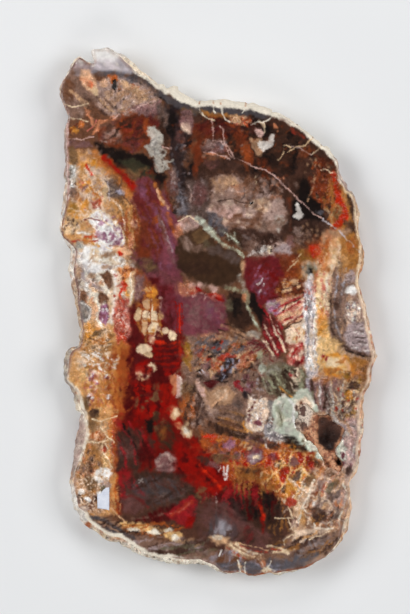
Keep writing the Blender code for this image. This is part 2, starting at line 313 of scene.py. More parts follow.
# Veins and healed cracks that show as crisp thin lines: colour, width, and the places they pass.
veins = [
    ("pink", 0.9, -5, 172, 3, 170, 8, 165, 10, 158, 16, 154, 25, 151, 33, 147, 40, 144, 47, 143, 60, 133,
     70, 123, 77, 116, 82, 110, 90, 104, 97, 98, 105, 93),
    ("paleLilac", 1.3, 105, 93, 113, 87, 120, 82, 127, 75, 133, 69, 136, 64, 142, 60),
    ("pink", 0.9, 0, 172, 6, 170, 12, 162, 16, 154),
    ("pink", 0.8, -14, 160, -4, 158, 4, 156, 12, 153),
    ("pink", 0.8, -7, 192, -5, 182, -5, 172),
    ("pink", 0.8, 3, 186, 6, 176, 8, 165),
    ("boneWhite", 1.3, -19, 211, -19, 202, -15, 197, -10, 194, -5, 192),
    ("boneWhite", 1.0, -6, 211, -5, 204, -3, 200),
    ("boneWhite", 1.3, 3, 212, 4, 199, 8, 193, 12, 191),
    ("boneWhite", 1.0, 28, 208, 28, 203, 25, 200),
    ("boneWhite", 1.4, 53, 205, 54, 196, 50, 191, 40, 190, 33, 187),
    ("cream", 1.1, -19, 199, -13, 195, -5, 192),
    ("cream", 0.9, 47, 188, 46, 180),
    ("sand", 1.0, 60, 152, 63, 157, 65, 160, 66, 166, 73, 165),
    ("sand", 1.0, 70, 160, 78, 165, 87, 167, 92, 172, 97, 175),
    ("cream", 1.2, 93, 158, 99, 162, 106, 169),
    ("pinkGrey", 0.9, 73, 165, 82, 164, 93, 158),
    ("cream", 1.1, 102, 142, 105, 143, 108, 143, 113, 138, 118, 140, 124, 140),
    ("salmon", 3.2, -88, 202, -98, 199, -104, 192, -112, 191, -119, 188, -121, 182, -126, 178),
    ("pink", 1.8, -64, 211, -72, 208, -82, 203, -90, 200, -98, 199, -103, 193),
    ("salmon", 1.4, -104, 196, -110, 192, -118, 192, -124, 186, -127, 192, -131, 199),
    ("cream", 1.2, -157, 209, -150, 207, -146, 205, -140, 206, -130, 209),
    ("cream", 1.3, -151, 195, -140, 193, -132, 190),
    ("pink", 1.1, -152, 173, -137, 173, -125, 175),
    ("salmon", 1.0, -125, 178, -122, 184, -118, 190),
    ("rose", 1.0, -130, 181, -124, 186, -121, 192),
    ("cream", 1.2, -40, 90, -35, 94, -28, 96, -20, 90),
    ("paleGreen", 1.6, 15, 65, 22, 60, 25, 57),
    ("umber", 1.1, -1, 111, 8, 112, 15, 113, 22, 110, 32, 109),
    ("greyBrown", 0.8, 22, 110, 27, 116, 26, 124),
    ("sand", 1.2, 75, 50, 79, 53, 83, 58),
    ("sand", 1.2, 70, 42, 75, 47, 80, 52),
    ("paleLilac", 1.3, 42, 28, 45, 33),
    ("cream", 1.4, -125, -107, -116, -109, -108, -106, -101, -104),
    ("cream", 1.2, -116, -109, -118, -115, -110, -125, -103, -130),
    ("cream", 1.3, -132, -129, -120, -131, -111, -128, -106, -124),
    ("cream", 1.4, -115, -131, -117, -137, -113, -142, -110, -137, -113, -131),
    ("cream", 1.2, -113, -142, -109, -148, -106, -155),
    ("cream", 1.2, 57, -206, 64, -207, 70, -206, 75, -206),
    ("cream", 1.2, 71, -195, 73, -200, 75, -206),
    ("cream", 1.6, 70, -207, 74, -217, 78, -222, 72, -224, 65, -228, 66, -233),
    ("boneWhite", 1.2, 94, -215, 105, -217, 115, -216),
    ("cream", 1.3, 92, -227, 105, -222, 112, -219),
    ("boneWhite", 1.4, 20, -248, 22, -254, 23, -261),
    ("boneWhite", 1.4, 28, -250, 27, -256, 28, -262),
    ("boneWhite", 1.7, 41, -247, 45, -253, 49, -258, 47, -263),
    ("boneWhite", 1.5, 53, -250, 50, -256, 57, -258, 53, -263),
    ("tan", 1.2, -107, -196, -102, -200, -98, -205),
    ("tan", 1.2, -100, -202, -96, -207, -92, -213),
    ("honey", 1.2, -95, -213, -80, -213, -60, -212),
    ("white", 2.2, 6, -167, 8, -166, 9, -160, 10, -154),
    ("white", 2.0, 6, -166, 7, -160, 6, -155),
    ("chalk", 0.9, 3, -154, 1, -160),
    ("white", 1.0, 0, -243, 4, -238),
    ("tan", 1.0, 20, -231, 35, -234, 50, -238),
    ("white", 0.9, -79, -171, -76, -167),
    ("white", 0.9, -80, -168, -75, -170),
    ("paleLilac", 1.0, -20, -60, -17, -63, -14, -61, -12, -64, -16, -59),
    ("maroon", 1.4, 30, -32, 38, -28, 44, -34, 50, -40, 55, -50),
    ("scarlet", 1.3, -37, 8, -38, -5, -38, -20),
    ("burgundy", 1.4, -133, 92, -126, 94, -118, 91),
    ("cream", 1.4, -131, 93, -127, 99, -120, 103, -113, 99, -107, 93, -103, 88, -98, 87, -95, 78, -94, 70,
     -97, 66, -104, 62, -112, 65),
    ("cream", 1.0, -120, 103, -114, 92, -106, 84, -99, 76),
    ("paleLilac", 1.0, -110, 130, -110, 121, -108, 112),
    ("cream", 1.2, 56, -20, 60, -25, 66, -38),
    ("cream", 1.2, 48, -30, 55, -42),
    ("cream", 1.1, 52, -3, 56, -12),
    ("umber", 1.6, 64, 2, 70, 7, 80, 12, 86, 15),
    ("umber", 1.5, 67, -17, 75, -12, 83, -9),
    ("umber", 1.4, 77, 18, 84, 24),
    ("grey", 1.1, 90, 12, 91, -2, 89, -14, 92, -26, 90, -36),
    ("umber", 1.2, 138, -26, 147, -26),
    ("boneWhite", 1.0, -66, 12, -66, 2),
    ("honey", 1.0, -60, 12, -59, 1),
]


veinLook = {"pitch": 1.1, "wander": 1.3, "width": 0.75, "cover": 0.85, "soft": 0.45}    # millimetres, shares


def vein(path):
    spots = pointsAlong(np.reshape(path, (-1, 2)), veinLook["pitch"])
    x, y = spots.T
    return spots + veinLook["wander"] * np.stack([fbm(x, y, 6.0, 3, 101), fbm(x, y, 6.0, 3, 107)], 1)


def buildSlab():
    shape = slabShape
    edge = curveAt(rings[0], columns)
    x, y = edge.T
    outward = -(drawIn(edge, 1.0) - edge)
    ragged = fbm(x, y, 4.0, 3, 5) * shape["rimRagged"]
    rim = edge + outward * ragged[:, None]
    lipLoop = turnedLeft(curveAt(lip, evenLoop(lip, shape["lipPitch"])))
    lipLoop = lipLoop + 0.22 * np.stack([fbm(lipLoop[:, 0], lipLoop[:, 1], 3.0, 2, 11),
                                         fbm(lipLoop[:, 0], lipLoop[:, 1], 3.0, 2, 12)], 1)
    pits = [turnedLeft(curveAt(pit, evenLoop(pit, 0.8))) for pit in pitLoops]
    loops = [rim, lipLoop] + pits
    fixed = np.concatenate(loops)
    for _, _, *path in veins:
        extra = vein(path)
        fixed = np.concatenate([fixed, clearOf(extra, fixed, 0.6)])
    veinSpots = fixed[sum(len(loop) for loop in loops):]
    loose = staggered(rim.min(0), rim.max(0), shape["facePitch"], shape["jitter"], 3)
    loose = loose[isInside(loose[:, 0], loose[:, 1], rim)]
    veinSpots = veinSpots[isInside(veinSpots[:, 0], veinSpots[:, 1], rim)] if len(veinSpots) else veinSpots
    loose = clearOf(loose, fixed, 0.62)
    loose = np.concatenate([veinSpots, loose]) if len(veinSpots) else loose
    points, faces, place = joinUp(loops, loose)

    # heights: the flat face, its nicked edge, the hollow and the pits
    px, py = points.T
    z = np.full(len(points), thickness)
    tree = KDTree(len(rim))
    for index, spot in enumerate(rim):
        tree.insert((spot[0], spot[1], 0.0), index)
    tree.balance()
    toRim = np.array([tree.find((a, b, 0.0))[2] for a, b in points])
    nick = np.clip(fbm(px, py, 5.5, 3, 21) - 0.12, 0.0, 1.0) * smoothStep(2.4, 0.2, toRim)
    z -= nick * shape["chipDepth"] * 2.0
    z -= 0.16 * smoothStep(1.0, 0.0, toRim)
    within = isInside(px, py, lipLoop)
    lipTree = KDTree(len(lipLoop))
    for index, spot in enumerate(lipLoop):
        lipTree.insert((spot[0], spot[1], 0.0), index)
    lipTree.balance()
    for index in np.nonzero(within)[0]:
        toLip = lipTree.find((px[index], py[index], 0.0))[2]
        if toLip < 1e-3:
            continue
        floor = crustTop(px[index], py[index]) - shape["crustUnder"]
        share = min(toLip / 1.1, 1.0)
        z[index] = thickness + (floor - thickness) * share ** 0.5
    for pit, depth in zip(pits, (6.0, 2.0)):
        inPit = isInside(px, py, pit)
        middle = pit.mean(0)
        reach = np.abs(pit - middle).max(0)
        away = np.hypot((px - middle[0]) / reach[0], (py - middle[1]) / reach[1])
        z[inPit] -= depth * (1 - np.clip(away[inPit], 0, 1) ** 2.2)
    spots = [np.column_stack([points, z])]

    # the bark side, column by column
    rimIndex = np.full(len(rim), -1)
    for index, origin in enumerate(place):
        if 0 <= origin < len(rim):
            rimIndex[origin] = index
    columnsSides = np.stack([curveAt(ring, columns) for ring in rings])
    total = len(points)
    bands = [rimIndex]
    for depth in fineDepths[1:]:
        at = np.array([[np.interp(depth, sideDepths, columnsSides[:, c, axis]) for axis in (0, 1)]
                       for c in range(len(rim))])
        grow = min(depth / 4.0, 1.0)
        ends = min((thickness - depth) / 1.5, 1.0)
        ribs = fbm(at[:, 0] * 1.0, at[:, 1] + depth * 0.22, 3.4, 3, 31)
        flakes = fbm(at[:, 0] + depth * 1.7, at[:, 1] - depth * 1.3, 7.0, 3, 37)
        relief = grow * ends * shape["barkRelief"] * (ribs + 0.8 * flakes)
        at = at + outward * (relief + ragged * (1 - grow))[:, None]
        height = np.full(len(rim), thickness - depth)
        spots.append(np.column_stack([at, height]))
        bands.append(np.arange(total, total + len(rim)))
        total += len(rim)
    for upper, lower in zip(bands, bands[1:]):
        for i in range(len(rim)):
            j = (i + 1) % len(rim)
            faces.append((upper[i], lower[i], lower[j]))
            faces.append((upper[i], lower[j], upper[j]))

    # the sawn back
    backLoop = spots[-1][:, :2]
    inner = staggered(backLoop.min(0), backLoop.max(0), shape["backPitch"], 0.2, 5)
    inner = inner[isInside(inner[:, 0], inner[:, 1], backLoop)]
    inner = clearOf(inner, backLoop, 3.0)
    backPoints, backFaces, backPlace = joinUp([backLoop], inner)
    lookup = []
    extra = []
    for index, origin in enumerate(backPlace):
        if 0 <= origin < len(backLoop):
            lookup.append(bands[-1][origin])
        else:
            lookup.append(total + len(extra))
            extra.append((backPoints[index][0], backPoints[index][1], 0.0))
    spots.append(np.array(extra))
    faces.extend(tuple(lookup[i] for i in face[::-1]) for face in backFaces)
    spots = np.concatenate(spots)
    depthOf = thickness - spots[:, 2]
    kind = np.zeros(len(spots), int)                 # 0 face, 1 hollow or pit, 2 bark side, 3 back
    kind[:len(points)][within & (toRim > 1.0) & (z < thickness - 0.02)] = 1
    for pit in pits:
        kind[:len(points)][isInside(px, py, pit)] = 1
    kind[len(points):total] = 2
    kind[total:] = 3
    rimAway = np.zeros(len(spots))
    rimAway[:len(points)] = toRim
    return spots, faces, kind, rimAway, depthOf


# Colours of the stone, red, green and blue out of 255
palette = {
    "boneWhite": (236, 226, 208), "white": (240, 236, 232), "chalk": (222, 214, 206),
    "cream": (235, 208, 172), "peach": (222, 170, 132), "salmon": (195, 122, 85),
    "paleGold": (226, 180, 118), "amber": (204, 148, 92), "honey": (178, 106, 48), "gold": (212, 136, 48),
    "ochre": (160, 104, 50), "orange": (200, 110, 48), "burntOrange": (166, 82, 34), "rust": (142, 64, 28),
    "scarlet": (196, 42, 16), "brick": (160, 52, 34), "blood": (134, 12, 6), "deepRed": (104, 12, 8),
    "maroon": (98, 34, 32), "burgundy": (100, 28, 33), "wine": (80, 20, 20), "brown": (104, 66, 46),
    "darkBrown": (74, 46, 36), "umber": (52, 33, 25), "navy": (36, 27, 29), "olive": (112, 82, 54),
    "darkOlive": (60, 40, 27), "oliveGold": (142, 98, 30), "moss": (98, 88, 68), "tan": (206, 162, 122),
    "sand": (216, 182, 142), "fawn": (166, 126, 96), "taupe": (126, 96, 82), "mauve": (120, 84, 82),
    "mauveBrown": (98, 62, 58), "plum": (112, 55, 64), "violet": (150, 98, 126), "lilac": (162, 142, 142),
    "lavender": (170, 164, 182), "paleLilac": (202, 190, 194), "pinkGrey": (166, 138, 128),
    "rose": (184, 98, 84), "pink": (206, 166, 156), "greyBrown": (90, 72, 66), "steel": (88, 84, 90),
    "slate": (72, 66, 68), "grey": (130, 122, 118), "blueGrey": (150, 150, 170), "celadon": (190, 196, 178),
    "paleGreen": (182, 184, 160), "sage": (148, 146, 118), "russet": (106, 44, 22),
    "stoneGrey": (174, 168, 158), "ink": (24, 17, 15), "cocoa": (64, 42, 34), "ash": (152, 146, 152),
    "shell": (228, 198, 172), "coral": (204, 84, 44), "lava": (176, 38, 11), "forest": (56, 54, 38),
    "bronze": (132, 78, 34), "crimson": (142, 26, 30), "vermilion": (148, 20, 9), "oxblood": (72, 10, 10),
    "grape": (122, 72, 92),
}


# How far each place lies from a chain of points.
def awayFrom(x, y, chain):
    away = np.full(len(x), 99.0)
    for (ax, ay), (bx, by) in zip(chain, chain[1:]):
        dx = bx - ax
        dy = by - ay
        share = np.clip(((x - ax) * dx + (y - ay) * dy) / (dx * dx + dy * dy + 1e-9), 0, 1)
        away = np.minimum(away, np.hypot(x - ax - share * dx, y - ay - share * dy))
    return away


# The colour of every point of the slab. Each method lays one kind of mark.
class Canvas:
    def __init__(self, x, y, rimAway):
        self.x = x
        self.y = y
        self.allowed = None
        self.rimAway = rimAway
        self.colour = np.zeros((len(x), 3))
        self.mottle = np.full(len(x), 0.5)
        self.warpX = 2.8 * fbm(x, y, 10.0, 3, 41) + 1.6 * fbm(x, y, 3.6, 3, 43)
        self.warpY = 2.8 * fbm(x, y, 10.0, 3, 47) + 1.6 * fbm(x, y, 3.6, 3, 49)
        self.fine = fbm(x, y, 2.6, 2, 53)
        self.middle = fbm(x, y, 6.5, 3, 59)
        self.broad = fbm(x, y, 19.0, 3, 61)
        bentX = x + 7 * fbm(x, y, 24.0, 2, 97)
        bentY = y + 7 * fbm(x, y, 24.0, 2, 101)
        self.grains = []
        for seed, degrees in ((67, 15), (71, 75), (73, -40), (79, 40), (83, -70), (89, -10)):
            turn = math.radians(degrees)
            across = bentX * math.cos(turn) - bentY * math.sin(turn)
            up = bentX * math.sin(turn) + bentY * math.cos(turn)
            self.grains.append(fbm(across, up / 3.5, 2.6, 3, seed))
        self.turn = 0

    def lay(self, where, mask, colour, vary=0.1, mottle=None):
        tone = np.array(palette[colour], float) / 255.0
        shade = 1.0 + vary * (self.fine[where] + self.middle[where])
        wanted = tone[None, :] * shade[:, None]
        # where a mark is half seen, it breaks up into grains
        self.turn = (self.turn + 1) % len(self.grains)
        mask = np.clip(mask + 2.2 * self.grains[self.turn][where] * mask * (1 - mask), 0, 1)
        self.colour[where] += (wanted - self.colour[where]) * mask[:, None]
        if mottle is not None:
            self.mottle[where] += (mottle - self.mottle[where]) * mask

    def near(self, lowX, highX, lowY, highY):
        found = (self.x > lowX) & (self.x < highX) & (self.y > lowY) & (self.y < highY)
        return np.nonzero(found if self.allowed is None else found & self.allowed)[0]

    def blob(self, x, y, rx, ry, colour, cover=0.85, lean=0.0, soft=0.35, rag=0.35, mottle=None, vary=0.1,
             wander=1.0):
        reach = max(rx, ry) * (1 + soft + rag) + 3
        where = self.near(x - reach, x + reach, y - reach, y + reach)
        turn = math.radians(lean)
        wander = wander * min(1.0, 0.25 + min(rx, ry) / 5.0)
        dx = self.x[where] + wander * self.warpX[where] - x
        dy = self.y[where] + wander * self.warpY[where] - y
        across = dx * math.cos(turn) - dy * math.sin(turn)
        up = dx * math.sin(turn) + dy * math.cos(turn)
        away = np.hypot(across / rx, up / ry) + rag * (0.6 * self.middle[where] + 0.5 * self.fine[where])
        self.lay(where, cover * smoothStep(1 + soft, 1 - soft, away), colour, vary, mottle)

    # The path is a run of x and y, one pair after another.
    def line(self, colour, width, cover, *path, wander=0.5, soft=0.55, vary=0.08):
        path = np.reshape(path, (-1, 2)).astype(float)
        reach = width + 3
        where = self.near(path[:, 0].min() - reach, path[:, 0].max() + reach,
                          path[:, 1].min() - reach, path[:, 1].max() + reach)
        x = self.x[where] + wander * self.warpX[where]
        y = self.y[where] + wander * self.warpY[where]
        away = awayFrom(x, y, path)
        half = width / 2 * (1 + 0.35 * self.middle[where] + 0.25 * self.fine[where])
        cover = cover * np.clip(0.9 + 0.6 * self.middle[where], 0.25, 1.0)
        self.lay(where, cover * smoothStep(half + soft, half - soft, away), colour, vary)

    def patch(self, colour, cover, *corners, wander=0.6, soft=0.9, vary=0.1, mottle=None):
        corners = np.reshape(corners, (-1, 2)).astype(float)
        where = self.near(corners[:, 0].min() - 5, corners[:, 0].max() + 5,
                          corners[:, 1].min() - 5, corners[:, 1].max() + 5)
        x = self.x[where] + wander * self.warpX[where]
        y = self.y[where] + wander * self.warpY[where]
        away = awayFrom(x, y, np.vstack([corners, corners[:1]]))
        away = np.where(isInside(x, y, corners), -away, away)
        self.lay(where, cover * smoothStep(soft, -soft, away), colour, vary, mottle)

    # A band along the rim, where it runs through an oval.
    def edgeBand(self, colour, width, x, y, rx, ry, cover=0.8, mottle=0.2):
        where = self.near(x - rx * 1.3, x + rx * 1.3, y - ry * 1.3, y + ry * 1.3)
        away = np.hypot((self.x[where] - x) / rx, (self.y[where] - y) / ry) + 0.2 * self.broad[where]
        half = width * (1 + 0.35 * self.middle[where] + 0.2 * self.fine[where])
        band = smoothStep(half * 1.25 + 0.6, half * 0.8 - 0.3, self.rimAway[where])
        self.lay(where, cover * (band * smoothStep(1.2, 0.8, away)), colour, 0.05, mottle)

    # Loose ellipses of one colour, scattered over an oval.
    def flecks(self, x, y, rx, ry, count, size, colour, seed, cover=0.8, stretch=1.6, lean=0.0):
        rng = np.random.default_rng(seed)
        for _ in range(count):
            angle = rng.uniform(0, 2 * math.pi)
            out = math.sqrt(rng.uniform(0, 1))
            wide = size * rng.uniform(0.5, 1.3)
            turn = lean + rng.uniform(-35, 35)
            self.blob(x + rx * out * math.cos(angle), y + ry * out * math.sin(angle), wide, wide * stretch,
                      colour, cover * rng.uniform(0.5, 1.0), turn, 0.4, 0.5)

    # A net of thin lines round cells, over an oval.
    def cells(self, x, y, rx, ry, size, colour, seed, width=0.16, cover=0.7, stretch=1.0, lean=0.0):
        where = self.near(x - rx * 1.3, x + rx * 1.3, y - ry * 1.3, y + ry * 1.3)
        dx = self.x[where] - x
        dy = self.y[where] - y
        turn = math.radians(lean)
        across = dx * math.cos(turn) - dy * math.sin(turn) + 0.8 * self.warpX[where]
        up = (dx * math.sin(turn) + dy * math.cos(turn) + 0.8 * self.warpY[where]) / stretch
        first, second = scattered(across + 500, up + 500, size, seed)
        away = np.hypot(dx / rx, dy / ry) + 0.3 * self.middle[where]
        mask = smoothStep(width * 1.6, width * 0.5, second - first) * smoothStep(1.25, 0.75, away)
        self.lay(where, cover * mask, colour)

    # Streaks that run one way, over an oval.
    def streaks(self, x, y, rx, ry, colour, lean, seed, size=2.2, stretch=6.0, amount=0.5, cover=0.7):
        where = self.near(x - rx * 1.4, x + rx * 1.4, y - ry * 1.4, y + ry * 1.4)
        dx = self.x[where] + self.warpX[where] - x
        dy = self.y[where] + self.warpY[where] - y
        turn = math.radians(lean)
        across = dx * math.cos(turn) - dy * math.sin(turn)
        up = dx * math.sin(turn) + dy * math.cos(turn)
        grain = fbm(across, up / stretch, size, 2, seed)
        away = np.hypot(dx / rx, dy / ry) + 0.3 * self.middle[where]
        mask = smoothStep(0.6 - amount, 0.95 - amount, grain + 0.3) * smoothStep(1.3, 0.7, away)
        self.lay(where, cover * mask, colour)

    # Soft clouds of one colour, over an oval.
    def clouds(self, x, y, rx, ry, colour, seed, size=6.0, amount=0.5, cover=0.7, mottle=None):
        where = self.near(x - rx * 1.4, x + rx * 1.4, y - ry * 1.4, y + ry * 1.4)
        dx = self.x[where] + self.warpX[where] - x
        dy = self.y[where] + self.warpY[where] - y
        cloud = fbm(self.x[where], self.y[where], size, 3, seed)
        away = np.hypot(dx / rx, dy / ry) + 0.25 * self.middle[where]
        mask = smoothStep(0.5 - amount, 0.85 - amount, cloud + 0.15) * smoothStep(1.3, 0.7, away)
        self.lay(where, cover * mask, colour, 0.1, mottle)


def paintSide(c, kind, depth):
    side = np.nonzero(kind == 2)[0]
    x, y = c.x[side], c.y[side]
    ribs = fbm(x * 1.3, y * 1.3 + depth[side] * 0.15, 5.0, 3, 83)
    stain = fbm(x + depth[side], y - depth[side], 12.0, 3, 87)
    cream = np.array(palette["cream"]) / 255.0
    bone = np.array(palette["boneWhite"]) / 255.0
    ashes = np.array(palette["pinkGrey"]) / 255.0
    rusty = np.array(palette["burntOrange"]) / 255.0
    base = bone + (cream - bone) * smoothStep(-0.3, 0.5, stain)[:, None]
    base = base + (ashes - base) * (0.75 * smoothStep(-0.1, 0.45, ribs))[:, None]
    base = base + (rusty - base) * (0.55 * smoothStep(0.35, 0.7, stain + 0.4 * ribs))[:, None]
    c.colour[side] = base
    c.mottle[side] = 0.7
    # the sawn back keeps the face's colours, painted a fifth darker as shade on the underside
    back = np.nonzero(kind == 3)[0]
    c.colour[back] = c.colour[back] * 0.8


print("shaping the slab")
spots, faces, kind, rimAway, depthOf = buildSlab()
slab = makeObject("polishedSlab", spots, faces)
print("slab", len(spots), "points", len(faces), "triangles")

print("painting the slab")
canvas = Canvas(spots[:, 0], spots[:, 1], rimAway)
blob, line, patch, flecks = canvas.blob, canvas.line, canvas.patch, canvas.flecks
cells, streaks, clouds, edgeBand = canvas.cells, canvas.streaks, canvas.clouds, canvas.edgeBand

# What is painted where, ground colours first. Places are the slab's own millimetres.
print("painting the ground colours")
canvas.colour[:] = np.array(palette["brown"]) / 255.0
# the light outer wood, left side
patch("amber", 0.9, -160, 160, -118, 158, -104, 130, -98, 100, -92, 60, -84, 20, -88, -40, -92, -100,
    -100, -130, -104, -200, -140, -215, -160, -160, -165, -60, -160, 0, -165, 90, soft=5, wander=1.5,
    mottle=0.6)
blob(-118, 35, 34, 26, "chalk", 0.75, mottle=0.9)
blob(-125, 0, 22, 32, "tan", 0.8, mottle=0.9)
blob(-118, 52, 26, 18, "chalk", 0.8, mottle=0.9)
blob(-128, -150, 26, 34, "fawn", 0.75, mottle=0.8)
blob(-128, -188, 18, 24, "fawn", 0.8, mottle=0.8)
# right side
patch("fawn", 0.9, 98, 160, 160, 130, 165, -60, 160, -180, 130, -245, 84, -250, 70, -215, 78, -150,
    84, -100, 88, -60, 88, -10, 96, 30, 108, 80, 108, 110, soft=5, wander=1.5, mottle=0.8)
blob(128, 75, 20, 52, "ochre", 0.85, 12, mottle=0.7)
blob(108, 40, 16, 42, "sand", 0.85, 14, mottle=0.7)
blob(104, -5, 14, 40, "paleGold", 0.85, mottle=0.7)
blob(112, -40, 24, 26, "paleGold", 0.85, mottle=0.6)
blob(126, 0, 16, 44, "taupe", 0.85, mottle=0.7)
blob(140, -20, 16, 34, "pinkGrey", 0.8, mottle=0.9)
blob(132, -80, 22, 30, "fawn", 0.85, mottle=0.7)
blob(100, -82, 20, 20, "pinkGrey", 0.8, mottle=0.7)
blob(128, -135, 18, 42, "lilac", 0.8, mottle=0.8)
blob(112, -185, 22, 34, "fawn", 0.85, mottle=0.8)
blob(84, -190, 26, 36, "tan", 0.8, mottle=0.8)
blob(80, -235, 40, 16, "taupe", 0.85, mottle=0.5)
# dark upper middle
patch("umber", 0.9, -38, 205, 20, 208, 60, 198, 100, 172, 122, 146, 124, 118, 104, 86, 76, 76, 60, 84,
    30, 138, -10, 140, -24, 120, -36, 140, soft=4, wander=1.4, mottle=0.45)
patch("darkBrown", 0.5, -30, 196, 20, 196, 60, 186, 98, 160, 96, 120, 70, 130, 30, 150, -20, 165, soft=8,
    wander=2.0, mottle=0.5)
# the plum band
patch("plum", 0.9, -84, 138, -62, 134, -44, 100, -38, 60, -34, 30, -10, 20, 10, 12, 6, -20, -38, -24,
    -60, -12, -66, 20, -88, 60, -92, 100, soft=4, wander=1.8, mottle=0.35)
# the deep red heart
patch("deepRed", 0.9, -62, 10, -38, -14, -34, -40, -40, -80, -30, -120, 0, -140, 20, -176, 10, -192,
    -36, -186, -104, -200, -104, -140, -98, -110, -90, -50, -84, 0, soft=5, wander=1.8, mottle=0.15)
# dark lower wood
patch("darkBrown", 0.9, -102, -166, -80, -158, -20, -160, 10, -176, 60, -180, 76, -200, 66, -238, -10, -240,
    -60, -214, -96, -212, soft=5, wander=1.5, mottle=0.35)
# centre below the plum
patch("taupe", 0.9, -34, -22, 44, -26, 70, -50, 88, -70, 76, -90, 60, -92, 56, -128, 10, -128, -30, -108,
    -36, -60, soft=4, wander=1.8, mottle=0.7)
patch("burntOrange", 0.9, -18, -116, 30, -132, 62, -132, 96, -140, 104, -160, 72, -188, 40, -190, 10, -172,
    -8, -146, soft=4, wander=1.8, mottle=0.65)
blob(78, -160, 24, 24, "orange", 0.75, mottle=0.8)

print("painting the top left")
# mottled wood of the corner
patch("pinkGrey", 0.9, -128, 228, -104, 238, -80, 232, -58, 216, -58, 200, -84, 196, -104, 196, -124, 206,
    soft=2.5, mottle=0.75)
patch("taupe", 0.9, -152, 240, -140, 254, -126, 246, -120, 216, -128, 186, -158, 180, -160, 215, soft=2.5,
    mottle=0.6)
# chalcedony horn, peak and band under the rim
patch("ash", 0.9, -128, 262, -112, 266, -96, 258, -82, 249, -72, 238, -90, 238, -108, 240, -128, 240,
    soft=1.6, vary=0.04, mottle=0.15)
patch("white", 0.85, -128, 266, -112, 268, -97, 260, -96, 252, -108, 248, -124, 252, soft=2.5, vary=0.02,
    mottle=0.05)
blob(-106, 246, 9, 3.4, "boneWhite", 0.6, 12, mottle=0.05)
line("steel", 6, 0.7, -128, 240, -112, 240, -98, 237, -86, 232, soft=2.2)
patch("paleLilac", 0.6, -126, 254, -108, 254, -92, 248, -86, 240, -104, 241, -124, 244, soft=2.5,
    mottle=0.1)
line("slate", 7.5, 0.9, -84, 236, -72, 229, -58, 219, -48, 212, -38, 206, soft=1.6)
line("ink", 2, 0.6, -78, 228, -64, 218, -50, 208, -40, 203, soft=1.2)
patch("lilac", 0.85, -148, 244, -141, 254, -132, 248, -124, 246, -128, 238, -142, 236, soft=1.6, mottle=0.2)
blob(-140, 250, 4, 4, "chalk", 0.5)
line("chalk", 1.6, 0.7, -133, 251, -128, 247, -124, 247)
# what lies below the band
patch("peach", 0.85, -138, 242, -130, 242, -122, 232, -120, 222, -127, 218, -134, 226, soft=1.6, mottle=0.6)
blob(-124, 222, 4, 5.5, "sand", 0.85, -25)
blob(-132, 232, 4, 3.4, "salmon", 0.8, 40)
blob(-127, 228, 2.4, 4, "coral", 0.5)
blob(-150, 222, 7, 13, "brown", 0.75, 10, mottle=0.5)
line("tan", 3.6, 0.8, -147, 221, -143, 219, -138, 214, -133, 206)
line("pinkGrey", 2.6, 0.6, -149, 214, -143, 207, -136, 200)
patch("tan", 0.85, -101, 232, -92, 231, -80, 224, -66, 212, -76, 212, -92, 222, soft=1.6, mottle=0.7)
patch("burntOrange", 0.85, -112, 237, -103, 237, -100, 230, -107, 228, soft=1.4)
blob(-114, 229, 4.5, 5, "peach", 0.7)
flecks(-92, 224, 14, 6, 14, 1.2, "burntOrange", 11, 0.7)
flecks(-94, 213, 24, 9, 16, 1.2, "shell", 12, 0.6)
flecks(-92, 212, 28, 11, 34, 0.9, "ink", 13, 0.8, 1.2)
streaks(-90, 212, 30, 14, "fawn", 60, 17, 2.6, 5, 0.4, 0.7)
line("cocoa", 4, 0.8, -134, 214, -124, 206, -112, 198, soft=1.4)
line("tan", 1.6, 0.8, -140, 218, -132, 210, -122, 200)
line("cocoa", 1.8, 0.8, -122, 216, -114, 208, -106, 201)
line("cocoa", 1.6, 0.6, -117, 217, -108, 208, -101, 203)
line("tan", 1.6, 0.6, -119, 214, -111, 206, -104, 201)
patch("mauve", 0.7, -92, 204, -74, 208, -58, 210, -56, 200, -76, 198, soft=1.6, mottle=0.8)
# inside the pit here the stone is painted near black: painted shade in the hollow
patch("ink", 0.97, -107, 231, -103, 232, -101, 226, -102, 221, -106, 226, soft=0.8, mottle=0.1)
# rusty box and the left edge
blob(-127, 199, 8, 10, "brown", 0.85, mottle=0.6)
blob(-131, 200, 2.6, 3, "salmon", 0.6)
line("salmon", 1.8, 0.8, -134, 205, -128, 196, -124, 184)
patch("brown", 0.9, -151, 193, -130, 192, -128, 176, -151, 175, soft=1.2, mottle=0.6)
blob(-144, 182, 4, 3.6, "gold", 0.9)
blob(-137, 188, 3.4, 3.2, "orange", 0.8)
line("russet", 2, 0.6, -150, 178, -142, 188, -134, 191)
patch("mauve", 0.8, -152, 172, -130, 172, -124, 166, -140, 163, -152, 166, soft=1.5, mottle=0.6)
blob(-146, 156, 6, 9, "olive", 0.85)
# rusty field with lilac grains
patch("russet", 0.9, -120, 184, -104, 192, -84, 200, -66, 192, -60, 180, -70, 166, -84, 160, -104, 164,
    -118, 172, soft=2.5, mottle=0.5)
patch("mauve", 0.85, -84, 206, -66, 206, -58, 200, -64, 194, -80, 197, soft=1.8, mottle=0.8)
patch("pinkGrey", 0.45, -118, 186, -106, 190, -98, 180, -94, 170, -104, 168, -114, 174, soft=3)
blob(-90, 186, 5, 8, "brick", 0.7, 15)
blob(-80, 180, 6, 12, "maroon", 0.6)
blob(-86, 168, 12, 5, "plum", 0.5)
blob(-66, 188, 7, 9, "wine", 0.6)
clouds(-94, 180, 26, 16, "mauveBrown", 21, 10, 0.45, 0.75)
streaks(-94, 182, 24, 14, "umber", 60, 24, 3.4, 4, 0.3, 0.6)
streaks(-82, 188, 20, 12, "rust", 30, 22, 4, 4, 0.4, 0.8)
line("rust", 6, 0.8, -72, 192, -70, 178, -74, 162, soft=1.6)
line("pinkGrey", 1.2, 0.6, -118, 172, -110, 170, -104, 172, -98, 170)
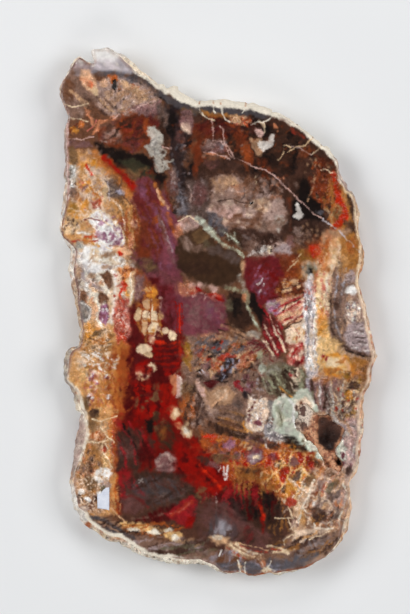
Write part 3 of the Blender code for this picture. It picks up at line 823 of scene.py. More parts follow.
# the black sweep, darkest along its upper edge, greenish below
patch("umber", 0.9, -122, 172, -104, 162, -84, 160, -66, 152, -54, 136, -56, 122, -70, 128, -84, 138,
    -100, 142, -114, 154, soft=3, wander=1.2, mottle=0.2)
patch("ink", 0.9, -124, 175, -114, 169, -104, 163, -88, 162, -74, 158, -62, 148, -54, 134, -59, 128,
    -70, 140, -86, 150, -102, 150, -114, 158, soft=2.4, wander=1.4, mottle=0.15)
patch("forest", 0.85, -98, 152, -82, 154, -66, 144, -62, 132, -74, 134, -88, 140, soft=2.5, mottle=0.3)
streaks(-76, 136, 12, 8, "olive", 40, 18, 2.4, 5, 0.4, 0.7)
line("ink", 5, 0.9, -80, 156, -66, 146, -56, 132, soft=2)
blob(-88, 137, 8, 5, "olive", 0.6, 25)
# the dark column and the pale patch beside it
patch("navy", 0.9, -52, 207, -40, 207, -30, 190, -24, 176, -24, 140, -26, 112, -38, 106, -44, 130, -47, 150,
    -50, 172, soft=2.5, wander=1.2, mottle=0.45)
patch("greyBrown", 0.9, -62, 207, -50, 206, -48, 184, -58, 184, soft=2, mottle=0.7)
blob(-46, 190, 5, 13, "ink", 0.8, mottle=0.4)
blob(-30, 150, 6, 24, "ink", 0.6, mottle=0.4)
blob(-38, 176, 5, 8, "mauveBrown", 0.6, mottle=0.9)
blob(-33, 160, 4, 7, "greyBrown", 0.4, mottle=0.9)
flecks(-38, 156, 8, 40, 24, 1.4, "steel", 25, 0.5)
flecks(-34, 140, 7, 28, 14, 1.2, "lilac", 26, 0.4)
blob(-55, 178, 4, 14, "umber", 0.85, -14)
patch("stoneGrey", 0.9, -71, 175, -68, 183, -63, 186, -58, 180, -56, 170, -53, 160, -50, 150, -50, 142,
    -60, 141, -63, 150, -68, 158, -70, 168, soft=1.0, wander=1.2, mottle=0.5)
blob(-66, 172, 3, 6, "chalk", 0.5, -20)
flecks(-62, 164, 6, 16, 26, 0.9, "grey", 23, 0.6, 1.8, 20)
flecks(-54, 156, 3, 12, 12, 0.9, "umber", 27, 0.7)
line("pink", 1.8, 0.8, -54, 165, -50, 163, -46, 163)
line("stoneGrey", 1.6, 0.7, -53, 152, -48, 150, -44, 152)

print("painting the top middle")
# dark field
clouds(10, 176, 56, 30, "russet", 35, 10, 0.42, 0.75)
clouds(70, 150, 50, 40, "russet", 39, 9, 0.35, 0.7)
clouds(50, 168, 60, 36, "ink", 36, 8, 0.46, 0.85)
clouds(0, 160, 40, 26, "brown", 34, 7, 0.35, 0.6)
streaks(26, 170, 64, 30, "rust", 60, 37, 2.2, 5, 0.22, 0.4)
streaks(26, 172, 64, 28, "umber", 40, 38, 2.6, 5, 0.35, 0.7)
flecks(30, 172, 66, 26, 26, 0.9, "pinkGrey", 44, 0.4, 2.4, 50)
clouds(64, 160, 42, 28, "umber", 256, 9, 0.45, 0.65)
blob(-21, 152, 4.4, 26, "russet", 0.85, 4, mottle=0.4)
blob(-14, 180, 13, 8, "russet", 0.7)
blob(5, 184, 30, 8, "wine", 0.4)
blob(29, 156, 5, 12, "rust", 0.8)
blob(22, 174, 7, 6, "russet", 0.8)
blob(46, 154, 9, 6, "ink", 0.8)
blob(50, 182, 6, 7, "ink", 0.7)
blob(40, 152, 12, 5, "russet", 0.4)
# bands under the rim
edgeBand("slate", 9, -14, 206, 34, 12, 0.9)
edgeBand("slate", 9, 28, 202, 30, 12, 0.9)
edgeBand("cocoa", 9, 84, 178, 34, 30, 0.7)
edgeBand("taupe", 3, 84, 178, 36, 34, 0.5)
blob(-30, 199, 9, 5, "olive", 0.6)
line("ochre", 4.4, 0.85, -17, 201, -8, 197, 0, 197, 8, 197, 20, 194, soft=1.4)
line("burntOrange", 2.2, 0.5, 8, 190, 20, 182, 30, 180, soft=1.2)
patch("tan", 0.8, 11, 197, 20, 197, 32, 195, 33, 191, 26, 186, 18, 186, 12, 191, soft=1.4, mottle=0.9)
streaks(22, 190, 12, 7, "russet", 14, 32, 1.8, 5, 0.5, 0.85)
flecks(24, 190, 9, 5, 10, 0.9, "coral", 31, 0.7)
patch("pink", 0.9, 36, 182, 38, 184, 43, 184, 46, 178, 44, 174, 40, 175, soft=0.8, mottle=0.8)
patch("fawn", 0.9, 31, 173, 36, 172, 44, 174, 46, 164, 44, 157, 38, 158, 34, 164, soft=1, mottle=0.7)
patch("chalk", 0.9, 41, 171, 48, 170, 52, 172, 52, 177, 56, 179, 57, 171, 54, 165, 49, 162, 46, 160,
    42, 164, 39, 168, soft=0.7, wander=0.5, mottle=0.5)
flecks(59, 185, 4, 4, 6, 1.1, "salmon", 33, 0.9)
blob(80, 178, 9, 2.6, "brick", 0.6, 38)
line("cream", 1.3, 0.6, 41, 192, 46, 187, 47, 181, 45, 176)
# pink-tan triangle
patch("mauve", 0.9, -37, 201, -28, 202, -24, 190, -25, 180, -30, 178, -38, 188, soft=1.5, mottle=0.7)
patch("shell", 0.65, -37, 189, -29, 193, -26, 187, -28, 179, -31, 178, -35, 183, soft=1.4, mottle=0.6)
# greyish knot where the veins start
blob(-4, 163, 11, 9, "mauve", 0.8, mottle=0.8)
blob(-9, 168, 7, 5, "pinkGrey", 0.5, mottle=0.8)
blob(4, 168, 5, 5, "ash", 0.35, mottle=0.9)
blob(0, 155, 13, 4, "brown", 0.8)
line("salmon", 1.4, 0.7, -12, 158, 0, 157, 10, 152)
blob(10, 146, 18, 6, "cocoa", 0.8)
blob(-8, 148, 8, 5, "mauveBrown", 0.6)
# brown-red mottle on the right
blob(103, 128, 10, 24, "russet", 0.85, mottle=0.75)
blob(88, 160, 9, 5, "rust", 0.4, -30)
flecks(102, 130, 12, 22, 34, 1.4, "rust", 40, 0.7)
flecks(100, 136, 14, 22, 24, 1.1, "tan", 41, 0.4)
flecks(104, 128, 12, 22, 20, 1.2, "ink", 42, 0.6)
blob(87, 118, 7, 15, "ink", 0.9, mottle=0.2)
patch("ink", 0.97, 74, 112, 90, 118, 108, 104, 104, 92, 90, 86, 78, 84, 72, 96, soft=2.2, mottle=0.15)
line("fawn", 1.3, 0.6, 90, 110, 93, 118, 96, 126, 95, 136)
line("russet", 4, 0.8, 70, 114, 73, 98, 72, 82, soft=1.5)
patch("chalk", 0.9, 78, 109, 80, 109, 83, 103, 86, 98, 85, 94, 82, 92, 78, 94, 75, 95, 79, 101, soft=0.6,
    wander=0.3, vary=0.04, mottle=0.2)
blob(62, 130, 10, 8, "cocoa", 0.6)

print("painting the upper left")
# amber, gold and grey swirls of the outer wood
clouds(-132, 120, 22, 38, "tan", 41, 8, 0.5, 0.75, 0.4)
clouds(-134, 112, 22, 36, "honey", 42, 6, 0.3, 0.8)
clouds(-128, 126, 20, 34, "pinkGrey", 43, 7, 0.25, 0.6)
streaks(-122, 124, 20, 36, "pinkGrey", 32, 44, 2.4, 6, 0.3, 0.7)
streaks(-126, 116, 20, 34, "shell", -28, 45, 2, 6, 0.3, 0.7)
for x, y, wide, high in ((-130, 126, 5, 7), (-135, 106, 5, 6), (-144, 94, 4, 6), (-134, 146, 6, 4),
        (-123, 150, 5, 4)):
    blob(x, y, wide, high, "gold", 0.75)
line("scarlet", 2.6, 0.9, -131, 147, -128, 141, -125, 137)
patch("stoneGrey", 0.85, -152, 148, -143, 146, -141, 126, -150, 122, soft=1.6, mottle=0.8)
flecks(-147, 134, 5, 12, 8, 1.8, "white", 46, 0.9)
flecks(-147, 132, 5, 14, 8, 1.6, "cocoa", 47, 0.7)
blob(-145, 117, 6, 8, "taupe", 0.8, mottle=0.8)
blob(-132, 124, 2.2, 5, "mauve", 0.8, 30)
blob(-146, 104, 6, 6, "oliveGold", 0.7)
clouds(-140, 92, 12, 18, "amber", 161, 6, 0.45, 0.6, 0.3)
# grey-brown pane with a blue chip
patch("greyBrown", 0.9, -112, 134, -102, 132, -94, 118, -100, 112, -112, 116, soft=1.6, mottle=0.7)
patch("lavender", 0.95, -103, 121, -98, 126, -87, 124, -93, 117, -99, 117, soft=0.9)
blob(-121, 107, 4.5, 5, "brick", 0.75, mottle=0.8)
blob(-113, 118, 2.6, 12, "sand", 0.75)
flecks(-128, 112, 14, 26, 12, 1.2, "rose", 48, 0.9)
# olive and amber flank, and the orange-red diagonal under the black sweep
line("honey", 9, 0.85, -122, 158, -110, 144, -98, 130, -88, 118, soft=3)
line("rust", 8, 0.9, -112, 152, -98, 140, -84, 124, soft=2)
line("vermilion", 4.6, 0.95, -114, 155, -102, 144, -92, 133, -84, 125, soft=1.6)
patch("ochre", 0.9, -104, 112, -84, 108, -76, 90, -78, 62, -98, 62, -100, 90, soft=3, mottle=0.7)
streaks(-90, 88, 14, 30, "olive", -14, 50, 2.6, 6, 0.42, 0.8)
streaks(-90, 88, 14, 30, "amber", -18, 51, 2.4, 6, 0.32, 0.75)
streaks(-88, 80, 12, 24, "rust", -10, 52, 2.4, 6, 0.32, 0.8)
line("shell", 1.6, 0.75, -110, 116, -100, 106, -94, 94, -93, 82)
blob(-84, 88, 2.6, 4, "peach", 0.85)
blob(-88, 70, 3, 10, "salmon", 0.7)
# plum band that sweeps down to the right
patch("plum", 0.9, -82, 134, -70, 136, -60, 124, -50, 106, -42, 88, -36, 62, -32, 40, -44, 36, -62, 44,
    -72, 62, -78, 90, -84, 112, soft=2.5, mottle=0.4)
patch("russet", 0.9, -78, 92, -66, 88, -62, 66, -68, 52, -80, 54, -82, 74, soft=3, mottle=0.4)
streaks(-66, 92, 16, 44, "maroon", -16, 53, 3, 6, 0.4, 0.8)
streaks(-54, 74, 16, 34, "grape", -18, 54, 2.6, 7, 0.4, 0.5)
streaks(-64, 98, 18, 40, "russet", -16, 55, 2.6, 6, 0.3, 0.8)
streaks(-74, 116, 12, 20, "maroon", -14, 19, 3, 6, 0.45, 0.8)
blob(-76, 122, 4, 9, "grape", 0.5, -20)
blob(-63, 92, 3, 4, "rust", 0.85)
line("mauve", 3, 0.6, -60, 96, -54, 80, -50, 62, -42, 46, soft=1.6)
line("lilac", 1.4, 0.5, -56, 92, -50, 72, -44, 56)
blob(-53, 96, 5, 9, "violet", 0.45, -15, mottle=0.5)
line("honey", 3.4, 0.8, -63, 128, -58, 118, -55, 108, soft=1.4)
line("peach", 2.6, 0.95, -61, 122, -56, 112, -50, 104)
line("burntOrange", 3.4, 0.85, -50, 98, -47, 88, -44, 80, soft=1.4)
# olive and dark panes over the blocks
patch("cocoa", 0.6, -80, 53, -70, 54, -60, 47, -61, 38, -72, 41, -82, 45, soft=3, mottle=0.5)
patch("olive", 0.7, -76, 53, -67, 52, -62, 45, -68, 41, -76, 46, soft=2.4, mottle=0.5)
patch("rust", 0.7, -90, 44, -74, 42, -66, 30, -66, 18, -78, 24, -88, 30, soft=2.4)
patch("oxblood", 0.8, -68, 34, -58, 36, -56, 22, -64, 18, soft=2)
# the white and violet patch
patch("white", 0.9, -131, 93, -127, 99, -120, 103, -113, 99, -107, 93, -103, 88, -98, 87, -95, 78, -94, 70,
    -97, 64, -112, 62, -122, 66, -126, 74, -118, 80, -126, 86, soft=1.2, mottle=0.5)
streaks(-110, 84, 14, 13, "violet", 50, 56, 2.2, 4, 0.4, 0.7)
streaks(-104, 78, 11, 14, "grape", 40, 57, 2.0, 4, 0.3, 0.7)
flecks(-108, 80, 12, 14, 14, 1.1, "grape", 58, 0.9, 2.2, 30)
for path in ((-126, 98, -116, 94, -108, 86, -102, 76), (-120, 102, -110, 97, -102, 88),
        (-124, 90, -114, 84, -108, 74, -110, 66)):
    line("white", 1.3, 0.85, *path)
flecks(-110, 80, 14, 16, 18, 1.1, "white", 59, 0.9, 2.4, 40)
# white band below it
patch("white", 0.95, -134, 66, -120, 68, -100, 64, -94, 54, -96, 46, -110, 42, -128, 38, -136, 50, soft=2.2,
    mottle=0.35)
clouds(-116, 54, 20, 14, "paleLilac", 60, 6, 0.4, 0.8)
clouds(-116, 52, 20, 14, "sand", 61, 6, 0.35, 0.8)
streaks(-118, 48, 20, 12, "fawn", 60, 62, 2.4, 4, 0.35, 0.7)
flecks(-116, 50, 20, 14, 8, 1.3, "taupe", 63, 0.7)
patch("peach", 0.85, -106, 66, -92, 66, -86, 58, -96, 55, -104, 60, soft=1.4)
blob(-98, 59, 2, 2.4, "scarlet", 0.9)
line("russet", 1.2, 0.7, -108, 66, -96, 65, -86, 62)
line("scarlet", 2.6, 0.85, -134, 76, -127, 75, -121, 76)
line("brick", 1.6, 0.85, -146, 70, -136, 72, -128, 71, -120, 72)
line("white", 3, 0.9, -140, 79, -134, 79, -128, 78)
blob(-140, 66, 5, 4, "stoneGrey", 0.7)
patch("sand", 0.7, -152, 96, -140, 92, -138, 80, -150, 76, -156, 82, soft=1.6, mottle=0.8)
flecks(-147, 86, 6, 10, 10, 1.6, "cocoa", 63, 0.7)
line("gold", 3, 0.6, -134, 72, -124, 69, -118, 66)
cells(-134, 90, 18, 26, 9, "shell", 64, 0.1, 0.5, 1.6, 30)
cells(-128, 122, 20, 28, 10, "shell", 65, 0.08, 0.45, 1.8, -30)

print("painting the pale eye")
# the pale pink-grey eye, in dark brown wood
patch("cocoa", 0.8, -34, 134, -8, 142, 34, 140, 62, 124, 74, 104, 72, 76, 40, 66, 8, 74, -20, 84, -36, 100,
    soft=4, mottle=0.6)
patch("pinkGrey", 0.9, -8, 132, 6, 137, 24, 134, 34, 122, 44, 118, 60, 117, 68, 104, 66, 88, 54, 78, 34, 84,
    10, 84, -5, 92, -9, 108, soft=3, wander=1.8, mottle=0.5)
blob(8, 128, 14, 8, "fawn", 0.75)
blob(12, 129, 8, 5, "tan", 0.45)
blob(22, 122, 8, 7, "salmon", 0.4)
blob(14, 116, 14, 4, "taupe", 0.5)
patch("pink", 0.75, -7, 108, 6, 108, 22, 106, 30, 98, 20, 90, 6, 90, -6, 98, soft=2.4, mottle=0.4)
patch("tan", 0.6, 36, 112, 50, 114, 54, 104, 46, 98, 38, 102, soft=2, mottle=0.6)
patch("pinkGrey", 0.7, 50, 108, 60, 106, 64, 94, 58, 84, 50, 88, 48, 98, soft=2, mottle=0.5)
blob(60, 88, 5, 8, "stoneGrey", 0.5)
blob(46, 84, 9, 6, "taupe", 0.7, mottle=0.6)
blob(38, 90, 5, 8, "brown", 0.5)
patch("brown", 0.65, 28, 140, 36, 134, 42, 122, 36, 114, 30, 120, soft=2.2, mottle=0.7)
blob(34, 112, 5, 5, "cocoa", 0.35)
flecks(26, 108, 36, 26, 60, 1.8, "taupe", 71, 0.4)
flecks(26, 108, 36, 26, 50, 1.2, "cocoa", 72, 0.5)
flecks(26, 108, 34, 24, 30, 1.4, "shell", 73, 0.45)
clouds(30, 108, 40, 28, "brown", 74, 8, 0.4, 0.6)
clouds(56, 92, 14, 16, "taupe", 85, 7, 0.45, 0.6)
clouds(10, 118, 24, 18, "taupe", 86, 9, 0.3, 0.5)
clouds(20, 100, 30, 18, "shell", 70, 7, 0.2, 0.35)
streaks(54, 126, 20, 10, "pinkGrey", -30, 75, 2, 5, 0.4, 0.5)
flecks(58, 126, 14, 12, 20, 1.2, "salmon", 76, 0.4)
blob(34.2, 109, 2.6, 2.6, "cream", 0.5, rag=0.1)
blob(34.2, 109, 1.2, 1.4, "ink", 0.95, rag=0.05)
line("cream", 1.2, 0.6, 38, 128, 37, 134, 39, 137)
# grey mottles to the left of the eye
patch("greyBrown", 0.8, -32, 132, -12, 132, -9, 112, -10, 94, -22, 84, -34, 96, soft=2.5, mottle=0.6)
blob(-21, 118, 8, 12, "mauveBrown", 0.7, mottle=0.6)
line("pinkGrey", 1.5, 0.7, -30, 127, -27, 120, -28, 110)
flecks(-20, 112, 12, 22, 24, 1.3, "lilac", 69, 0.35)
blob(-46, 128, 6, 13, "mauveBrown", 0.8, mottle=0.7)
blob(-44, 136, 4, 9, "pinkGrey", 0.5, mottle=0.8)
blob(-36, 108, 7, 12, "steel", 0.6, mottle=0.7)
line("ash", 2.2, 0.5, -42, 122, -36, 112, -34, 102, soft=1.2)
flecks(-40, 118, 9, 20, 26, 1.5, "ash", 77, 0.4)
flecks(-38, 112, 9, 18, 16, 1.5, "ink", 68, 0.5)
blob(-4, 92, 8, 7, "steel", 0.7, mottle=0.8)
blob(4, 83, 6, 5, "steel", 0.7)
# dark lower rim of the eye
patch("cocoa", 0.9, 14, 84, 30, 84, 46, 80, 62, 78, 70, 64, 56, 62, 34, 60, 20, 66, soft=2.5, mottle=0.6)
blob(44, 74, 11, 5, "umber", 0.7)
blob(34, 66, 8, 5, "taupe", 0.6, mottle=0.7)
line("ash", 2.4, 0.35, 22, 78, 32, 72, 40, 66, soft=1.5)
flecks(40, 72, 22, 8, 26, 1.3, "pinkGrey", 67, 0.35)
blob(16, 76, 9, 7, "darkOlive", 0.7)
# pink-cream arc and the olive oval
patch("pink", 0.75, -42, 88, -34, 96, -24, 96, -17, 88, -22, 82, -30, 84, -36, 80, soft=1.8, mottle=0.7)
patch("salmon", 0.7, -42, 88, -36, 84, -32, 74, -38, 66, -44, 76, soft=2, mottle=0.7)
blob(-30, 84, 7, 5, "pinkGrey", 0.5)
patch("darkOlive", 0.97, -40, 72, -30, 80, -18, 84, -8, 76, 4, 66, 18, 58, 24, 46, 22, 32, 10, 24, -12, 26,
    -30, 34, -42, 50, soft=2.5, wander=1.0, mottle=0.12)
blob(-18, 75, 8, 7, "olive", 0.8, 20, mottle=0.3)
patch("pinkGrey", 0.5, -38, 74, -30, 76, -24, 68, -28, 60, -37, 62, soft=3, mottle=0.4)
blob(-20, 63, 8, 4, "taupe", 0.6)
blob(-4, 62, 9, 5, "greyBrown", 0.7)
blob(-10, 68, 8, 5, "moss", 0.45)
patch("greyBrown", 0.8, 2, 62, 14, 60, 22, 54, 20, 46, 8, 52, 0, 56, soft=2.5, mottle=0.4)
blob(-20, 44, 16, 9, "umber", 0.6)
line("taupe", 1.6, 0.6, -41, 44, -30, 33, -14, 27, 2, 25, 16, 29, 22, 36, soft=1.6)
line("celadon", 6.5, 0.75, -19, 93, -14, 88, -9, 82, -4, 77, soft=1.4)
line("paleGreen", 3, 0.85, -6, 80, -1, 73, 4, 69, 12, 64, 20, 60, 25, 56, soft=0.9)
line("sage", 3.4, 0.45, 4, 82, 12, 76, 18, 72, 24, 64, soft=1.4)
line("celadon", 1.4, 0.6, 6, 80, 10, 76, 15, 74, 20, 70)
flecks(6, 76, 12, 7, 14, 1.0, "celadon", 79, 0.4)
flecks(14, 70, 12, 7, 12, 1.2, "umber", 66, 0.5)
blob(26, 45, 3, 7, "tan", 0.8)
# pale mottles under the eye
patch("pinkGrey", 0.8, 30, 60, 42, 64, 52, 66, 62, 72, 70, 70, 74, 60, 66, 52, 50, 53, 36, 56, soft=1.8,
    mottle=0.8)
flecks(48, 61, 14, 5, 26, 1.2, "chalk", 80, 0.7)
flecks(48, 62, 16, 7, 26, 1.0, "cocoa", 81, 0.7)
line("white", 1.6, 0.6, 30, 57, 38, 60, 46, 61, 52, 65)
blob(52, 61, 3.4, 4.4, "cream", 0.75)
blob(53, 61, 1.5, 2.2, "ink", 0.9, rag=0.1)
blob(66, 60, 7, 8, "lilac", 0.85, mottle=0.5)
blob(72, 70, 5, 6, "mauve", 0.7)

print("painting the upper right")
# outer wood, amber and brown
patch("ochre", 0.85, 112, 140, 124, 132, 136, 112, 142, 80, 128, 74, 112, 84, 108, 104, soft=2.5,
    mottle=0.6)
blob(124, 108, 6, 12, "amber", 0.6)
blob(118, 98, 5, 9, "olive", 0.7)
patch("cocoa", 0.85, 128, 124, 134, 118, 138, 104, 138, 90, 134, 92, 132, 106, soft=1.2)
streaks(113, 110, 7, 26, "rust", 4, 87, 2.4, 6, 0.45, 0.8)
streaks(114, 108, 7, 26, "cocoa", 2, 88, 2.2, 6, 0.35, 0.8)
line("rust", 8, 0.6, 115, 139, 119, 126, 121, 114, 127, 103, 122, 91, 114, 82, soft=2)
line("lava", 5.5, 0.97, 115, 139, 118, 130, 120, 120, 122, 111, 127, 103, soft=1.2)
line("lava", 6.5, 0.97, 121, 112, 127, 104, 127, 97, 124, 91, 114, 82, soft=1.3)
blob(131, 84, 5, 8, "cocoa", 0.8)
streaks(133, 76, 8, 22, "brown", 8, 89, 2.2, 6, 0.4, 0.8)
line("honey", 2, 0.7, 114, 126, 115, 114, 118, 104, soft=1.2)
line("gold", 2, 0.6, 124, 116, 126, 110, 131, 102, soft=1.0)
blob(114, 92, 4, 5, "amber", 0.5)
line("sand", 2.4, 0.5, 108, 104, 112, 98, 116, 94)
patch("chalk", 0.85, 118, 135, 123, 134, 130, 127, 131, 123, 126, 124, soft=0.9)
blob(102, 101, 5, 3, "steel", 0.8)
flecks(110, 106, 8, 14, 12, 1.2, "ochre", 91, 0.6)
# dark brown and grey-olive below the black
patch("cocoa", 0.9, 76, 92, 104, 92, 116, 84, 104, 70, 88, 62, 76, 70, soft=2.5, mottle=0.6)
blob(98, 79, 12, 8, "umber", 0.7, 15, mottle=0.6)
blob(81, 80, 4, 5, "pinkGrey", 0.7)
blob(80, 70, 5, 5, "taupe", 0.7, mottle=0.7)
blob(88, 76, 4, 4, "taupe", 0.5)
flecks(90, 78, 14, 10, 26, 1.1, "fawn", 92, 0.45)
patch("burntOrange", 0.75, 100, 74, 112, 82, 122, 78, 112, 64, 102, 62, soft=2.2)
patch("oliveGold", 0.7, 80, 62, 92, 60, 104, 66, 100, 52, 92, 50, 80, 52, soft=2.2)
blob(98, 62, 10, 9, "rust", 0.7, soft=0.6)
patch("lava", 0.95, 92, 66, 99, 68, 105, 62, 102, 56, 95, 55, 91, 60, soft=2)
# red-brown, then the peach band
patch("russet", 0.9, 58, 58, 80, 58, 86, 44, 80, 28, 60, 30, soft=2.5, mottle=0.5)
blob(72, 36, 8, 6, "rust", 0.7)
blob(76, 48, 5, 5, "burntOrange", 0.7)
patch("ochre", 0.6, 80, 54, 100, 52, 104, 44, 98, 28, 86, 26, 78, 36, soft=2.2, mottle=0.6)
patch("fawn", 0.85, 84, 51, 91, 54, 98, 49, 99, 38, 95, 29, 88, 29, 83, 40, soft=1.4, mottle=0.5)
blob(91, 41, 6, 10, "stoneGrey", 0.55, rag=0.2)
blob(91, 41, 4.4, 7.4, "moss", 0.75, rag=0.2)
blob(91, 40, 2.6, 3.6, "ink", 0.75, rag=0.2)
patch("fawn", 0.85, 104, 80, 118, 84, 132, 82, 128, 72, 112, 66, 102, 68, soft=2.2, mottle=0.4)
patch("amber", 0.95, 116, 74, 126, 73, 122, 60, 117, 44, 112, 22, 98, 22, 100, 40, 107, 58, soft=2,
    mottle=0.3)
line("cream", 4, 0.6, 121, 70, 117, 60, 111, 46, 107, 30, soft=1.6)
streaks(110, 50, 13, 30, "salmon", -24, 93, 2.8, 8, 0.35, 0.6)
streaks(113, 48, 11, 28, "cream", -24, 94, 2.8, 8, 0.3, 0.5)
clouds(103, 44, 8, 24, "honey", 255, 6, 0.45, 0.6, 0.4)
line("burntOrange", 3, 0.7, 112, 74, 106, 62, 101, 48, 98, 36, soft=1.8)
line("shell", 3, 0.8, 122, 68, 117, 52, 113, 36, 110, 22, soft=1.4)
line("peach", 2, 0.8, 118, 72, 112, 54, 107, 38, 104, 24, soft=1.2)
line("umber", 1.0, 0.5, 124, 66, 119, 50, 115, 36)
patch("ochre", 0.9, 122, 74, 134, 80, 143, 66, 141, 46, 132, 38, 124, 44, 124, 58, soft=1.8, mottle=0.5)
blob(134, 68, 4, 8, "burntOrange", 0.6)
blob(128, 52, 4, 8, "amber", 0.6, 15)
# burgundy field
patch("burgundy", 0.97, 28, 56, 38, 50, 50, 56, 62, 54, 66, 32, 58, 12, 44, 6, 34, 14, 26, 28, soft=2.5,
    mottle=0.35)
patch("maroon", 0.6, 30, 54, 50, 56, 56, 44, 44, 40, 32, 44, soft=3)
blob(44, 30, 9, 12, "plum", 0.7, mottle=0.5)
flecks(46, 30, 15, 16, 30, 1.3, "violet", 95, 0.4, 2.4, 30)
flecks(44, 32, 10, 12, 4, 0.8, "chalk", 96, 0.8, 2.8, 25)
streaks(50, 30, 20, 20, "deepRed", 40, 97, 2.2, 6, 0.4, 0.4)

print("painting the middle left")
# white and brown panes
clouds(-120, 32, 18, 24, "boneWhite", 101, 7, 0.55, 0.85, mottle=0.5)
streaks(-130, 34, 10, 14, "ash", -35, 102, 2.4, 6, 0.38, 0.6)
blob(-122, 44, 8, 5, "white", 0.7)
line("lilac", 4, 0.8, -138, 46, -134, 34, -126, 26, -116, 22, soft=1.4)
blob(-132, 26, 3.4, 5, "white", 0.9)
blob(-141, 40, 4, 8, "fawn", 0.8)
blob(-141, 30, 3.4, 5, "cocoa", 0.7)
patch("brown", 0.95, -118, 38, -110, 41, -105, 37, -106, 26, -110, 23, -113, 28, soft=0.9, mottle=0.7)
patch("brown", 0.95, -119, 20, -112, 18, -109, 13, -111, 5, -115, 6, -120, 11, soft=0.9, mottle=0.7)
blob(-125, 36, 4, 4, "fawn", 0.8)
blob(-134, 16, 5, 5, "brown", 0.9)
flecks(-122, 24, 14, 16, 9, 1.6, "taupe", 103, 0.7)
flecks(-122, 20, 14, 16, 10, 1.6, "chalk", 104, 0.8)
flecks(-120, 16, 14, 16, 9, 1.3, "salmon", 105, 0.8)
patch("grey", 0.9, -140, 12, -134, 12, -128, 4, -127, -6, -132, -12, -138, -8, soft=1.2, mottle=0.8)
line("chalk", 1.4, 0.8, -138, 10, -132, 8, -128, 0, -130, -8, -136, -10)
blob(-124, 0, 5, 9, "peach", 0.85)
blob(-121, -3, 2, 2, "shell", 0.9)
patch("violet", 0.9, -118, 8, -112, 8, -109, -2, -112, -14, -118, -12, -119, -2, soft=1.0, mottle=0.8)
flecks(-114, -3, 5, 10, 12, 1.3, "plum", 106, 0.9)
flecks(-114, -3, 6, 12, 10, 1.1, "white", 107, 0.9)
line("boneWhite", 2, 0.8, -122, 12, -119, 2, -121, -8, -116, -16)
# cream upright strips and red-rose mottle
patch("shell", 0.95, -106, 44, -98, 44, -96, 24, -101, 6, -104, -14, -109, -12, -107, 14, soft=1.6,
    mottle=0.5)
line("white", 2.2, 0.7, -104, 40, -103, 22, -105, 0, -107, -12, soft=1.5)
flecks(-101, 20, 4, 22, 12, 1.2, "brick", 108, 0.9, 1.6)
patch("sand", 0.85, -92, 46, -84, 42, -82, 20, -87, 4, -92, 10, -94, 28, soft=1.8, mottle=0.6)
line("boneWhite", 2, 0.7, -88, 38, -86, 22, -88, 8)
line("gold", 2, 0.7, -92, 44, -93, 30, -91, 16)
patch("rose", 0.9, -103, 14, -90, 12, -85, -8, -88, -34, -102, -34, -105, -10, soft=2, mottle=0.8)
streaks(-96, -10, 9, 24, "brick", 2, 109, 2, 5, 0.5, 0.9)
streaks(-96, -6, 9, 22, "pink", -4, 110, 1.8, 6, 0.26, 0.7)
blob(-95, -24, 7, 11, "lava", 0.4, soft=0.6)
cells(-96, -12, 8, 22, 3.6, "shell", 111, 0.1, 0.45, 1.6)
blob(-94, 28, 2.8, 5, "scarlet", 0.9)
line("scarlet", 2.4, 0.8, -97, 24, -98, 16, -95, 10)
blob(-92, 40, 6, 8, "orange", 0.8)
flecks(-92, 40, 7, 8, 8, 1.3, "russet", 112, 0.8)
patch("mauve", 0.8, -84, 36, -74, 38, -72, 18, -78, 8, -84, 14, soft=2, mottle=0.6)
line("pinkGrey", 2, 0.7, -81, 34, -78, 22, -80, 10, soft=1)
# amber band that runs down into the red
patch("honey", 0.9, -106, -30, -88, -30, -86, -60, -88, -100, -100, -108, -106, -80, soft=4, mottle=0.15)
patch("burntOrange", 0.8, -98, -36, -84, -36, -82, -70, -86, -100, -95, -100, soft=6, mottle=0.15)
# left edge, amber with a pink swirl
blob(-134, -45, 14, 16, "amber", 0.85)
blob(-128, -20, 8, 8, "gold", 0.7)
streaks(-118, -28, 16, 12, "olive", 70, 113, 2.4, 5, 0.42, 0.8)
line("cocoa", 1.6, 0.7, -128, -26, -118, -30, -110, -28)
clouds(-125, -28, 20, 12, "honey", 160, 6, 0.4, 0.6, mottle=0.35)
cells(-122, -30, 18, 20, 7, "shell", 114, 0.11, 0.5)
# maroon ground of the blocks
patch("wine", 0.9, -88, 4, -78, 12, -62, 26, -54, 22, -50, -2, -42, -16, -38, -34, -44, -68, -86, -66,
    -87, -30, soft=3, mottle=0.3)
clouds(-68, 0, 14, 26, "honey", 115, 7, 0.35, 0.8)
clouds(-68, -24, 18, 34, "blood", 116, 8, 0.35, 0.8)
